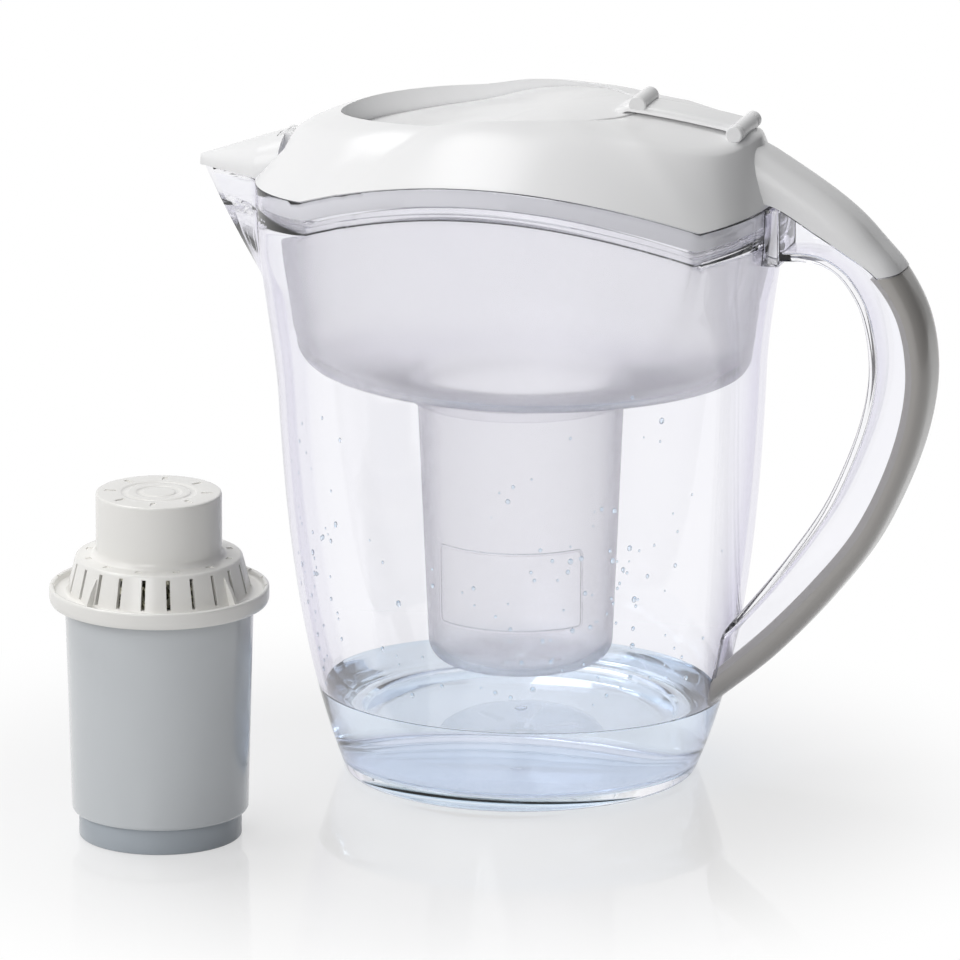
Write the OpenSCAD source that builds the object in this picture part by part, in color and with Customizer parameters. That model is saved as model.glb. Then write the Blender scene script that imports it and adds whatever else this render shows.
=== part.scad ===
// Water filter pitcher with a flip lid, with its filter cartridge standing beside it.
// The jug is clear, its hopper and sleeve are frosted, the lid is white and the grip is grey.
// +Z is up, +X runs to the handle, the origin is the middle of the foot on the table.

/* [Jug] */
// Diameter of the round foot
foot_d = 133; // [126:1:140]
// How far each end wall swells out past the foot
end_swell = 31; // [26:0.5:34]
// How far the front and back walls swell out past the foot
side_swell = 2.6; // [1:0.2:5]
// Height over which most of the swelling happens
swell_h = 68; // [60:1:76]
// Rim corner to foot middle along the pitcher, on the spout side
corner_spout_x = 70; // [67:0.5:73]
// Rim corner to foot middle along the pitcher, on the handle side
corner_handle_x = 87; // [85:0.5:89]
// Rim corner to the middle plane
corner_y = 55; // [53:0.5:57]
// Bulge of the front and back rims past the corners
side_bulge = 18; // [16:0.5:20]
// Bulge of the spout end of the rim past the corners
spout_bulge = 32; // [31:0.5:33]
// Bulge of the handle end of the rim past the corners
handle_bulge = 13; // [12:0.5:15]
// Height of the four rim corners
corner_h = 227; // [223:1:231]
// Arch of the front and back rims above the corners
side_arch = 15; // [12:0.5:18]
// Dip of the rim at the spout
spout_dip = 3; // [2:0.5:4]
// Wall thickness
jug_wall = 2.6; // [2.2:0.1:3]
// Floor thickness
jug_floor = 4.4; // [4:0.1:6]
// Depth of the socket in the rim, down to the ledge that carries the hopper
socket_depth = 12.5; // [12:0.5:14]
// Wall thickness of that socket
socket_wall = 1.8; // [1.6:0.1:2]
// Width of the ledge
ledge_w = 1.8; // [1.6:0.1:2]

/* [Spout] */
// How far the spout tip stands out from the rim
spout_reach = 23; // [21:0.5:25]
// Height where the spout starts to leave the wall
spout_start_h = 175; // [165:1:185]

/* [Hopper] */
// Gap between the hopper and the jug wall
hopper_gap = 3; // [2.5:0.1:4]
// Extra room between the hopper and the jug wall at the spout
spout_room = 4; // [2:0.5:5]
// Hopper wall thickness
hopper_wall = 2.2; // [2:0.1:2.6]
// Height of the seat in the hopper floor that carries the cartridge
seat_h = 153; // [150:1:156]
// Rise of the hopper floor away from the seat, per millimetre
floor_slope = 0.14; // [0.08:0.01:0.2]
// Thickness of the hopper flange
flange_t = 2; // [1.8:0.1:2.4]
// Height of the raised bead on the flange
bead_h = 2.2; // [1.8:0.1:2.4]

/* [Filter sleeve] */
// Height of the lowest point of the sleeve
sleeve_bottom_h = 42; // [39:1:45]
// Sleeve wall thickness
sleeve_wall = 1.8; // [1.6:0.1:2]
// Number of drain slots
drain_count = 6; // [4:1:8]

/* [Lid] */
// Rise of the middle of the crown above the rim corners
crown_rise = 33.5; // [32:0.5:35]
// Lid wall thickness
lid_wall = 2.2; // [2:0.1:2.4]
// Depth of the skirt inside the jug rim
skirt_depth = 7.5; // [6.5:0.5:7.5]
// Skirt thickness
skirt_t = 1.8; // [1.6:0.1:2]
// Softness of the crease round the crown
crease_soft = 1.2; // [1:0.1:1.6]

/* [Flip door] */
// Half length of the opening
door_a = 58.5; // [57:0.5:60]
// Half width of the opening
door_b = 34.5; // [32:0.5:36]
// Middle of the opening
door_x = -11; // [-12:0.5:-10]
// Depth of the dish at the spout end
dish_depth = 9; // [7:0.5:10]
// Door thickness
door_t = 2.2; // [2:0.1:2.4]
// Half width of the arm that runs back to the hinge
arm_half_w = 9; // [8:0.5:9.5]
// Hinge distance from the foot middle
door_hinge_x = 87; // [86:0.5:87.5]
// How far the hinge axis lies below the middle of the crown
door_hinge_drop = 5.5; // [5:0.1:6]
// Radius of the round bar on the arm that the thumb pushes
thumb_bar_r = 3.4; // [3:0.1:3.6]
// Radius of the hinge barrel
barrel_r = 3.2; // [3:0.1:3.3]
// Radius of the hinge pin
door_pin_r = 1.5; // [1.2:0.1:1.6]

/* [Spout flap] */
// Flap wall thickness
flap_wall = 1.8; // [1.6:0.1:2]
// Half width of the flap at its hinge
flap_half_w = 16.8; // [16.4:0.1:17]
// Hinge distance from the foot middle
flap_hinge_x = -91.4; // [-92:0.2:-91]
// Middle of each flap lug to the middle plane
flap_lug_y = 4; // [3.8:0.1:5]
// Radius of the flap pin
flap_pin_r = 1; // [0.9:0.1:1.2]

/* [Handle] */
// Half width of the handle
handle_half_w = 12.5; // [11.5:0.5:13]
// Wall thickness of the clear channel
channel_wall = 2.8; // [2.4:0.1:3]
// Thickness of the grip over the channel
grip_t = 5.6; // [5:0.2:7]
// Thickness of the lid tail inside the lid end
tail_root_t = 22; // [20:0.5:23]

/* [Cartridge] */
// Where the cartridge stands, along the pitcher
cartridge_x = -101; // [-110:1:-95]
// Where the cartridge stands, in front of the pitcher
cartridge_y = -128; // [-140:1:-124]
// Diameter of the cap flange
flange_d = 82; // [81:0.5:84]
// Diameter of the housing at its top
housing_top_d = 70.4; // [69:0.2:71.4]
// Diameter of the housing at its bottom
housing_bottom_d = 66; // [64.6:0.2:66.6]
// Diameter of the foot ring
foot_ring_d = 60.8; // [59:0.2:62]
// Height of the foot ring below the housing
foot_ring_h = 10; // [8:0.5:12]
// Height of the underside of the cap flange above the table
flange_h = 91; // [88:0.5:94]
// Height of the whole cartridge
cartridge_h = 132; // [129:0.5:135]
// Diameter of the knob on the cap
knob_d = 47; // [45:0.5:49]
// Number of inlet slots in the collar
slot_count = 28; // [20:1:32]
// Cartridge wall thickness
shell_t = 1.8; // [1.6:0.1:2]

/* [Hidden] */

// Gap kept between pieces that move apart.
play = 0.3;
// Radial clearance of a hinge pin in the piece that turns on it.
pin_play = 0.05;

clear_plastic = [0.90, 0.91, 0.97, 0.35];
frosted_plastic = [0.88, 0.88, 0.93, 0.65];
white_plastic = [0.95, 0.95, 0.95];
grip_grey = [0.72, 0.72, 0.71];
housing_grey = [0.66, 0.69, 0.71];

// ---- small helpers ----
function mix(a, b, t) = a + (b - a) * t;
function unit(t) = max(0, min(1, t));
function smooth(t) = let (c = unit(t)) c * c * (3 - 2 * c);
function soft_min(a, b, w) = -w * ln(exp(-a / w) + exp(-b / w));
function lift(p, z) = [p[0], p[1], z];
function reversed(list) = [for (i = [len(list) - 1:-1:0]) list[i]];
function middle(ring) = [for (k = [0:2]) [for (p = ring) p[k]] * [for (p = ring) 1] / len(ring)];

// A skin over rings of points. A looped skin joins its last ring to its first.
module skin(rings, looped = false) {
    n = len(rings[0]);
    m = len(rings);
    spans = looped ? m : m - 1;
    sides = [
        for (i = [0:spans - 1], j = [0:n - 1])
        let (a = i * n + j, b = i * n + (j + 1) % n, c = ((i + 1) % m) * n + (j + 1) % n, d = ((i + 1) % m) * n + j)
        each [[a, c, b], [a, d, c]]
    ];
    points = [for (ring = rings) each ring];
    first = len(points);
    caps = looped ? [] : [
        for (j = [0:n - 1])
        each [[first, j, (j + 1) % n], [first + 1, (m - 1) * n + (j + 1) % n, (m - 1) * n + j]]
    ];
    ends = looped ? [] : [middle(rings[0]), middle(rings[m - 1])];
    polyhedron(points = concat(points, ends), faces = concat(sides, caps), convexity = 10);
}

// A skin over the sections of a bent channel. A section runs out along one face of
// the channel and back along the other, so the ends close like the rungs of a ladder.
module sweep(rings) {
    n = len(rings[0]);
    m = len(rings);
    last = (m - 1) * n;
    sides = [
        for (i = [0:m - 2], j = [0:n - 1])
        let (a = i * n + j, b = i * n + (j + 1) % n, c = (i + 1) * n + (j + 1) % n, d = (i + 1) * n + j)
        each [[a, b, c], [a, c, d]]
    ];
    rungs = [
        for (j = [0:n / 2 - 2])
        let (k = n - 1 - j)
        each [
            [j, k, j + 1], [k, k - 1, j + 1],
            [last + j, last + j + 1, last + k], [last + k, last + j + 1, last + k - 1]
        ]
    ];
    polyhedron(points = [for (ring = rings) each ring], faces = concat(sides, rungs), convexity = 10);
}

// ---- the plan of the rim: four arcs that meet at the corners ----
foot_r = foot_d / 2;
rim_mid_x = (corner_handle_x - corner_spout_x) / 2;
rim_half_x = (corner_handle_x + corner_spout_x) / 2;
function sag_radius(half, sag) = (half * half + sag * sag) / (2 * sag);
side_rad = sag_radius(rim_half_x, side_bulge);
side_cy = corner_y + side_bulge - side_rad;
spout_rad = sag_radius(corner_y, spout_bulge);
spout_cx = spout_rad - corner_spout_x - spout_bulge;
handle_rad = sag_radius(corner_y, handle_bulge);
handle_cx = corner_handle_x + handle_bulge - handle_rad;

function arc_r(a, cx, cy, rad) = let (c = cx * cos(a) + cy * sin(a)) c + sqrt(c * c - cx * cx - cy * cy + rad * rad);
handle_corner_a = atan2(corner_y, corner_handle_x);
spout_corner_a = atan2(corner_y, -corner_spout_x);
function on_side(a) = let (b = a > 180 ? 360 - a : a) b >= handle_corner_a && b <= spout_corner_a;
function rim_r(a) =
    on_side(a) ? arc_r(a, rim_mid_x, sin(a) > 0 ? side_cy : -side_cy, side_rad)
    : cos(a) > 0 ? arc_r(a, handle_cx, 0, handle_rad)
    : arc_r(a, spout_cx, 0, spout_rad);
function rim_z(a) =
    let (x = rim_r(a) * cos(a), y = rim_r(a) * sin(a))
    on_side(a) ? corner_h + side_arch * (1 - pow((x - rim_mid_x) / rim_half_x, 2))
    : x > 0 ? corner_h
    : corner_h - spout_dip * (1 - pow(y / corner_y, 2));

spout_half_a = 8;
half_angles = [
    for (i = [0:5]) i / 6 * handle_corner_a,
    for (i = [0:15]) mix(handle_corner_a, spout_corner_a, i / 16),
    for (i = [0:5]) mix(spout_corner_a, 180 - spout_half_a, i / 6),
    180 - spout_half_a, 180 - spout_half_a / 2, 180
];
angles = concat(half_angles, [for (i = [len(half_angles) - 2:-1:1]) 360 - half_angles[i]]);

// ---- the jug wall: a round foot that turns into the rim ----
handle_square_h = 160;
spout_square_h = 140;
function body_r(a, z) =
    let (g = 1 - exp(-z / swell_h), ax = foot_r + end_swell * g, ay = foot_r + side_swell * g)
    1 / sqrt(pow(cos(a) / ax, 2) + pow(sin(a) / ay, 2));
function wall_r(a, z) =
    let (start = mix(handle_square_h, spout_square_h, (1 - cos(a)) / 2))
    mix(body_r(a, z), rim_r(a), smooth((z - start) / (rim_z(a) - start)));
function wall_pt(a, z, inset) = (wall_r(a, z) - inset) * [cos(a), sin(a)];
function spout_grow(z) = unit((z - spout_start_h) / (rim_z(180) - spout_start_h));
function spout_tip(z, inset) = -wall_r(180, z) - spout_reach * spout_grow(z) + inset * (1 + 0.9 * spout_grow(z));
function jug_pt(a, z, inset) =
    let (u = 1 - abs(180 - a) / spout_half_a, root = a < 180 ? 180 - spout_half_a : 180 + spout_half_a)
    u <= 0 ? wall_pt(a, z, inset) : mix(wall_pt(root, z, inset), [spout_tip(z, inset), 0], u);
// Height of a level, from 0 at the foot to 1 at the rim. Levels are flat in the lower part.
flat_to = 0.45;
function level_z(a, t) = t * corner_h + max(0, (t - flat_to) / (1 - flat_to)) * (rim_z(a) - corner_h);
function jug_ring(z, inset) = [for (a = angles) lift(jug_pt(a, z, inset), z)];
function jug_level(t, inset) = [for (a = angles) let (z = level_z(a, t)) lift(jug_pt(a, z, inset), z)];
function below_rim(drop, inset) = [for (a = angles) let (z = rim_z(a) - drop) lift(jug_pt(a, z, inset), z)];
outer_levels = [0.028, 0.06, 0.11, 0.18, 0.27, 0.37, 0.47, 0.56, 0.64, 0.71, 0.77, 0.83, 0.89, 0.945, 1];
inner_levels = [0.86, 0.8, 0.73, 0.65, 0.56, 0.47, 0.37, 0.27, 0.18, 0.11, 0.07];

root_trim = 1.2;
handle_root_x = 104.5;
module wall_trim() {
    skin([
        for (t = [0.01, 0.05, 0.11, 0.2, 0.31, 0.44, 0.57, 0.7, 0.84, 0.93, 1])
        [for (a = angles) lift(wall_pt(a, t * corner_h, root_trim), t * corner_h)]
    ]);
}
// The pad on the wall that the top of the handle is bonded to.
module handle_pad() {
    difference() {
        translate([90, -handle_half_w, 205]) cube([handle_root_x - 90, 2 * handle_half_w, corner_h - 205]);
        wall_trim();
    }
}
module jug() {
    color(clear_plastic) {
        handle_pad();
        jug_wall_and_floor();
    }
}
module jug_wall_and_floor() {
    skin(concat(
        [jug_ring(0, 6), jug_ring(0, 1.3), jug_ring(1.2, 0.2)],
        [for (t = outer_levels) jug_level(t, 0)],
        [
            below_rim(0, socket_wall), below_rim(socket_depth, socket_wall),
            below_rim(socket_depth, socket_wall + ledge_w)
        ],
        [for (t = inner_levels) jug_level(t, jug_wall)],
        [
            jug_ring(jug_floor + 3, jug_wall + 0.8), jug_ring(jug_floor + 0.9, jug_wall + 2.6),
            jug_ring(jug_floor, jug_wall + 6)
        ]
    ));
}

// ---- hopper: hangs by its flange on the ledge, with the cartridge seat in its floor ----
flange_inset = socket_wall + play + 0.1;
hopper_inset = jug_wall + hopper_gap;
hopper_base = play - socket_depth;
housing_top_r = housing_top_d / 2;
seat_bore_r = housing_top_r + 2.1;
sleeve_top_r = seat_bore_r + sleeve_wall;
collar_in_r = sleeve_top_r + 0.1;
collar_out_r = collar_in_r + 3.2;
collar_drop = 8;
sleeve_top_h = seat_h - 4.5;
seat_out_r = flange_d / 2 + 1.6;
function floor_z(r) = seat_h + floor_slope * max(0, r - seat_out_r);
function room(a) = spout_room * pow(max(0, -cos(a)), 6);
function hopper_rim(dz, inset) =
    [for (a = angles) let (z = rim_z(a) + hopper_base + dz) lift(wall_pt(a, z, inset), z)];
function hopper_neck(dz, inset) =
    [for (a = angles) let (z = rim_z(a) + hopper_base + dz) lift(wall_pt(a, z, inset + room(a)), z)];
// Rings near the floor: measured from the floor under the foot of the wall.
function hopper_low(dz, inset) =
    [for (a = angles) let (z = floor_z(wall_r(a, seat_h) - inset) + dz) lift(wall_pt(a, seat_h + 8, inset + room(a)), z)];
function hopper_mid(t, inset) =
    [
        for (a = angles)
        let (z = mix(seat_h + 18, rim_z(a) + hopper_base - 4, t))
        lift(wall_pt(a, z, inset + room(a)), z)
    ];
function round_ring(r, z) = [for (a = angles) [r * cos(a), r * sin(a), z]];

module hopper() {
    inner = hopper_inset + hopper_wall;
    color(frosted_plastic)
    skin(reversed(concat(
        [hopper_neck(0, hopper_inset), hopper_neck(-4, hopper_inset)],
        [for (t = [0.75, 0.5, 0.25, 0]) hopper_mid(t, hopper_inset)],
        [
            hopper_low(9 - hopper_wall, hopper_inset), hopper_low(4 - hopper_wall, hopper_inset + 1.4),
            hopper_low(1.2 - hopper_wall, hopper_inset + 4.2), hopper_low(-hopper_wall, hopper_inset + 9),
            round_ring(collar_out_r, floor_z(collar_out_r) - hopper_wall),
            round_ring(collar_out_r, seat_h - collar_drop), round_ring(collar_in_r, seat_h - collar_drop),
            round_ring(collar_in_r, sleeve_top_h), round_ring(seat_bore_r, sleeve_top_h),
            round_ring(seat_bore_r, seat_h), round_ring(seat_out_r, seat_h),
            hopper_low(0, inner + 9), hopper_low(1.2, inner + 4.2), hopper_low(4, inner + 1.4), hopper_low(9, inner)
        ],
        [for (t = [0, 0.25, 0.5, 0.75]) hopper_mid(t, inner)],
        [
            hopper_neck(-4, inner), hopper_neck(flange_t + bead_h, inner),
            hopper_neck(flange_t + bead_h, hopper_inset - 1.4), hopper_neck(flange_t, hopper_inset - 1.4),
            hopper_rim(flange_t, flange_inset), hopper_rim(0, flange_inset)
        ]
    )), looped = true);
}

// ---- filter sleeve: a tapered cup pushed up into the hopper collar ----
housing_bottom_r = housing_bottom_d / 2;
cartridge_drop = seat_h - flange_h;
sleeve_fit = 1;
sleeve_low_r = housing_bottom_r + sleeve_fit + sleeve_wall - 1.1;
sleeve_round = 8;
module sleeve_profile(r_off, top, bottom) {
    low = sleeve_low_r - r_off;
    polygon(concat(
        [[0, bottom], [low - sleeve_round, bottom]],
        [for (i = [1:6]) [low - sleeve_round + sleeve_round * sin(i * 15), bottom + sleeve_round * (1 - cos(i * 15))]],
        [[sleeve_top_r - 0.4 - r_off, seat_h - collar_drop - 1], [sleeve_top_r - r_off, seat_h - collar_drop + 0.6]],
        [[sleeve_top_r - r_off, top], [0, top]]
    ));
}
module filter_sleeve() {
    color(frosted_plastic)
    difference() {
        rotate_extrude($fn = 96) sleeve_profile(0, sleeve_top_h, sleeve_bottom_h);
        rotate_extrude($fn = 96) sleeve_profile(sleeve_wall, sleeve_top_h + 1, sleeve_bottom_h + sleeve_wall);
        for (i = [0:drain_count - 1])
            rotate([0, 0, (i + 0.5) * 360 / drain_count])
                translate([10, -1.5, sleeve_bottom_h - 1]) cube([12, 3, sleeve_wall + 2]);
        translate([0, 0, sleeve_bottom_h - 1]) cylinder(h = sleeve_wall + 2, r = 5, $fn = 48);
    }
}

// ---- lid: a crown with a soft crease, a steep shoulder and a skirt inside the jug rim ----
crown_c = [12, 0];
crown_h = corner_h + crown_rise;
function rim_pt(a, inset) = (rim_r(a) - inset) * [cos(a), sin(a)];
// The crease round the crown, at even steps from the handle end to the spout: how far
// out it lies between the crown middle (0) and the rim (1), and its height.
crease_out = [0.93, 0.85, 0.62, 0.5, 0.49, 0.51, 0.56, 0.66, 0.76, 0.83, 0.875];
crease_drop = [8, 10, 6, 2, 1.5, 1.7, 3.5, 9, 13, 15, 17.5];
crown_powers = [2, 2, 2, 2, 2, 2.1, 2.3, 2.6, 2.8, 2.8, 2.8];
function turn(a) =
    lookup(a > 180 ? 360 - a : a, [
        [0, 0], [handle_corner_a, 2], [spout_corner_a, 7.333], [180 - spout_half_a, 9.333], [180, 10]
    ]);
function eased(list, a) = let (t = turn(a), i = min(9, floor(t))) spline(list, i, t - i);
function crease_p(a) = max(eased(crease_out, a), open_at(a) + step(a, 1.5));
function crown_z(a, p) =
    let (pc = crease_p(a), zc = crown_h - eased(crease_drop, a), zr = rim_z(a))
    p >= 1 ? zr
    : soft_min(
        crown_h - (crown_h - zc) * pow(p / pc, eased(crown_powers, a)),
        zr + (zc - zr) * (1 - p) / (1 - pc), crease_soft
    );
function crown_pt(a, p, inset) = mix(crown_c, rim_pt(a, inset), p);
// Where the ray from the crown middle to the rim crosses the door opening.
function open_at(a) =
    let (
        d = rim_pt(a, 0) - crown_c, e = crown_c[0] - door_x,
        qa = pow(d[0] / door_a, 2) + pow(d[1] / door_b, 2),
        qb = 2 * e * d[0] / pow(door_a, 2), qc = pow(e / door_a, 2) - 1
    )
    (sqrt(qb * qb - 4 * qa * qc) - qb) / (2 * qa);
function step(a, mm) = mm / norm(rim_pt(a, 0) - crown_c);
// How far the door lies below the crown: a dish at the spout end that runs out toward the hinge.
function dish(a, p) =
    let (
        q = crown_pt(a, p, 0), left = door_x - door_a,
        r2 = pow((q[0] - door_x) / door_a, 2) + pow(q[1] / door_b, 2),
        fade = 1 - smooth((q[0] - left) / (2 * door_a - 4))
    )
    dish_depth * fade * (1 + 0.6 * max(0, 1 - r2));
// Rings over the crown: 0 at the rim, 1 at the crease, 2 at the door opening.
function lid_top(s) =
    [
        for (a = angles)
        let (p = s < 1 ? mix(1, crease_p(a), s) : mix(crease_p(a), open_at(a), s - 1))
        lift(crown_pt(a, p, 0), crown_z(a, p) + play)
    ];
// The same rings under the crown, from the skirt to the wall of the opening.
function lid_under(s) =
    [
        for (a = angles)
        let (
            outer = 1 - step(a, skirt_inset + skirt_t), inner = open_at(a) + step(a, lid_wall),
            pc = max(inner + 0.002, crease_p(a) - step(a, 0.6)), p = s < 1 ? mix(outer, pc, s) : mix(pc, inner, s - 1),
            shift = rim_pt(a, skirt_inset + skirt_t) - crown_pt(a, outer, 0),
            z = min(crown_z(a, p) - lid_wall, crown_z(a, p + step(a, lid_wall)))
        )
        lift(crown_pt(a, p, 0) + shift * max(0, 1 - s), max(z, rim_z(a) + 0.8) + play)
    ];
function opening(out, drop) =
    [
        for (a = angles)
        let (p = open_at(a), q = p + step(a, out))
        lift(crown_pt(a, q, 0), crown_z(a, p) + play - dish(a, p) - drop)
    ];
function lid_edge(dz, inset) = [for (a = angles) let (z = rim_z(a) + play + dz) lift(wall_pt(a, z, inset), z)];
ledge_t = 1.6;
skirt_inset = socket_wall + play + 0.1;
notch_x = flap_hinge_x + barrel_r + 0.4;
notch_half_w = flap_half_w + 0.4;
notch_z = corner_h - spout_dip + play;
lug_w = 3.4;
door_hinge_z = crown_h - door_hinge_drop;
flap_slope = 0.355;
function flap_top(x) = crown_z(180, (crown_c[0] - notch_x) / (crown_c[0] + rim_r(180))) + flap_slope * (x - notch_x);
flap_hinge_z = flap_top(flap_hinge_x) - barrel_r / cos(atan(flap_slope)) + play;

module lid_shell() {
    skin(concat(
        [for (s = [0, 0.2, 0.45, 0.7, 0.88, 1, 1.15, 1.4, 1.7]) lid_top(s)],
        [
            lid_top(2), opening(0, door_t + play), opening(-2, door_t + play),
            opening(-2, door_t + play + ledge_t), opening(lid_wall, door_t + play + ledge_t)
        ],
        [for (s = [2, 1.6, 1.25, 1, 0.85, 0.6, 0.3, 0]) lid_under(s)],
        [
            lid_edge(-skirt_depth, skirt_inset + skirt_t), lid_edge(-skirt_depth, skirt_inset), lid_edge(0, skirt_inset)
        ]
    ), looped = true);
}
module lug(x, z, y, w) {
    translate([x, y + w / 2, z]) rotate([90, 0, 0]) cylinder(h = w, r = barrel_r, $fn = 48);
}
module pin_bore(x, z, r, w) {
    translate([x, w / 2, z]) rotate([90, 0, 0]) cylinder(h = w, r = r, $fn = 48);
}
door_lug_y = arm_half_w + 0.4 + lug_w / 2;
module lid() {
    color(white_plastic)
    difference() {
        union() {
            difference() {
                lid_shell();
                translate([notch_x - 60, -notch_half_w, notch_z]) cube([60, 2 * notch_half_w, 40]);
            }
            translate([door_hinge_x - 5, -door_lug_y, door_hinge_z - 7]) cube([8.5, 2 * door_lug_y, 4.6]);
            for (s = [-1, 1]) {
                lug(door_hinge_x, door_hinge_z, s * door_lug_y, lug_w);
                lug(flap_hinge_x, flap_hinge_z, s * flap_lug_y, lug_w);
                translate([flap_hinge_x, s * flap_lug_y - lug_w / 2, flap_hinge_z - 2]) cube([8, lug_w, 5]);
            }
        }
        translate([door_hinge_x, arm_half_w + 0.4, door_hinge_z])
            rotate([90, 0, 0]) cylinder(h = 2 * arm_half_w + 0.8, r = barrel_r + 0.4, $fn = 48);
        pin_bore(door_hinge_x, door_hinge_z, door_pin_r, 4 * arm_half_w);
        pin_bore(flap_hinge_x, flap_hinge_z, flap_pin_r, 2 * flap_half_w);
    }
}

// ---- flip door: a dished oval with an arm that runs back over the crown to the hinge ----
door_gap = 0.45;
function door_ring(q, drop) =
    [
        for (a = angles)
        let (p = q * (open_at(a) - step(a, door_gap)))
        lift(crown_pt(a, p, 0), crown_z(a, p) + play - dish(a, p) - drop)
    ];
arm_start_x = door_x + door_a - 8;
arm_rise = 0.5;
arm_t = 2.6;
thumb_bar_x = door_x + door_a + 0.5;
thumb_bar_z = axis_crown(door_x + door_a) + arm_rise + 0.4;
thumb_bar_half = arm_half_w - 0.3;
function axis_crown(x) = crown_z(0, (x - crown_c[0]) / (rim_r(0) - crown_c[0])) + play;
function arm_section(x, sink) =
    let (w = arm_half_w, z = axis_crown(x) - sink)
    [[x, -w, z], [x, -w + 0.6, z + arm_t * 0.6], [x, -w + 2.6, z + arm_t], [x, w - 2.6, z + arm_t],
     [x, w - 0.6, z + arm_t * 0.6], [x, w, z], [x, 0, z]];
module fill_door() {
    color(white_plastic)
    difference() {
        union() {
            skin(concat(
                [for (q = [0.12, 0.35, 0.55, 0.72, 0.86, 0.95, 1]) door_ring(q, door_t)],
                [for (q = [1, 0.95, 0.86, 0.72, 0.55, 0.35, 0.12]) door_ring(q, 0)]
            ));
            skin([
                for (i = [8:-1:0])
                let (x = mix(arm_start_x, door_hinge_x - 1.6, i / 8))
                arm_section(x, mix(door_t * 0.8, -arm_rise, smooth((x - arm_start_x) / 5.5)))
            ]);
            translate([door_hinge_x, arm_half_w, door_hinge_z])
                rotate([90, 0, 0]) cylinder(h = 2 * arm_half_w, r = barrel_r, $fn = 48);
            // The round bar that the thumb pushes, flat below.
            intersection() {
                translate([thumb_bar_x, thumb_bar_half, thumb_bar_z + arm_t - 0.4])
                    rotate([90, 0, 0]) cylinder(h = 2 * thumb_bar_half, r = thumb_bar_r, $fn = 48);
                translate([thumb_bar_x - 2 * thumb_bar_r, -arm_half_w - 1, thumb_bar_z])
                    cube([4 * thumb_bar_r, 2 * arm_half_w + 2, 4 * thumb_bar_r]);
            }
        }
        pin_bore(door_hinge_x, door_hinge_z, door_pin_r + pin_play, 4 * arm_half_w);
    }
}
module door_pin() {
    color("silver") pin_bore(door_hinge_x, door_hinge_z, door_pin_r, 2 * (arm_half_w + 0.4 + lug_w));
}

// ---- spout flap: a light beak over the spout, swinging on its own pin ----
flap_edge_z = notch_z + play + 0.1;
flap_tip_x = -(rim_r(180) + spout_reach) - 1.6;
flap_bend_x = -rim_r(180) * cos(spout_half_a);
function flap_w(x) =
    x > flap_bend_x ? mix(flap_half_w - 1.2, flap_half_w, (x - flap_bend_x) / (flap_hinge_x - flap_bend_x))
    : mix(1.4, flap_half_w - 1.2, (x - flap_tip_x) / (flap_bend_x - flap_tip_x));
function arch(x, t) =
    let (w = max(0.35, flap_w(x) - t), rise = max(0.6, flap_top(x) + play - t - flap_edge_z))
    [for (i = [0:12]) let (b = 180 - i * 15) [x, w * cos(b), flap_edge_z + rise * pow(sin(b), 0.8)]];
flap_stations = [0, 0.1, 0.22, 0.36, 0.5, 0.64, 0.78, 0.9, 1];
module spout_flap() {
    color(white_plastic)
    difference() {
        union() {
            difference() {
                sweep([
                    for (s = flap_stations)
                    let (x = mix(flap_tip_x, flap_hinge_x, s), inner = arch(x, min(flap_wall, 0.6 + 2 * s)))
                    concat(arch(x, 0), reversed(inner))
                ]);
                for (s = [-1, 1])
                    translate([flap_hinge_x, s * flap_lug_y + lug_w / 2 + 0.4, flap_hinge_z]) rotate([90, 0, 0])
                        cylinder(h = lug_w + 0.8, r = barrel_r + 0.4, $fn = 48);
            }
            translate([flap_hinge_x, flap_lug_y - lug_w / 2 - 0.4, flap_hinge_z]) rotate([90, 0, 0])
                cylinder(h = 2 * flap_lug_y - lug_w - 0.8, r = barrel_r, $fn = 48);
        }
        pin_bore(flap_hinge_x, flap_hinge_z, flap_pin_r + pin_play, 2 * flap_half_w);
    }
}
module flap_pin() {
    color("silver") pin_bore(flap_hinge_x, flap_hinge_z, flap_pin_r, 2 * flap_lug_y + lug_w);
}

// ---- handle: a clear channel open outward, a grey grip and the lid tail over it ----
// Open edge of the channel in the middle plane, from the jug rim down to the foot of the handle.
split_line = [[86, 229.5], [96, 229], [104.5, 227], [117.5, 219.5], [130, 212], [142.5, 203.5], [152.5, 188],
    [156.3, 168], [154, 147], [146.5, 124], [135, 101.5], [118.5, 80.5], [100, 61], [82, 45], [66, 31]];
// Floor of the channel, matched to the open edge point by point.
floor_line = [[88, 208], [97, 207.5], [105, 207], [113, 207.4], [121, 206.4], [128.5, 201.5], [135.5, 190],
    [139, 172], [137.7, 155], [132, 136], [122, 114], [108, 93], [94, 75], [82, 61], [70, 48]];
function spline(p, i, t) =
    let (n = len(p) - 1, a = p[max(0, i - 1)], b = p[i], c = p[min(n, i + 1)], d = p[min(n, i + 2)])
    0.5 * (2 * b + (c - a) * t + (2 * a - 5 * b + 4 * c - d) * t * t + (3 * b - a - 3 * c + d) * t * t * t);
function line_at(p, u) = let (s = u * (len(p) - 1), i = min(len(p) - 2, floor(s))) spline(p, i, s - i);
joint_u = 5 / (len(split_line) - 1);
// A point of a handle section: v runs outward from the open edge, y across.
function handle_pt(u, v, y) =
    let (s = line_at(split_line, u), f = line_at(floor_line, u), n = (s - f) / norm(s - f), q = s + n * v)
    [q[0], y, q[1]];
function depth(u) = norm(line_at(split_line, u) - line_at(floor_line, u));
function section(u, outline) = [for (p = outline) handle_pt(u, p[0], p[1])];
function channel_outline(u) =
    let (d = -depth(u), w = handle_half_w, t = channel_wall)
    [[0, -w], [d + 2, -w], [d, 2 - w], [d, w - 2], [d + 2, w], [0, w],
     [0, w - t], [d + t + 1, w - t], [d + t, w - t - 1], [d + t, t + 1 - w], [d + t + 1, t - w], [0, t - w]];
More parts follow.
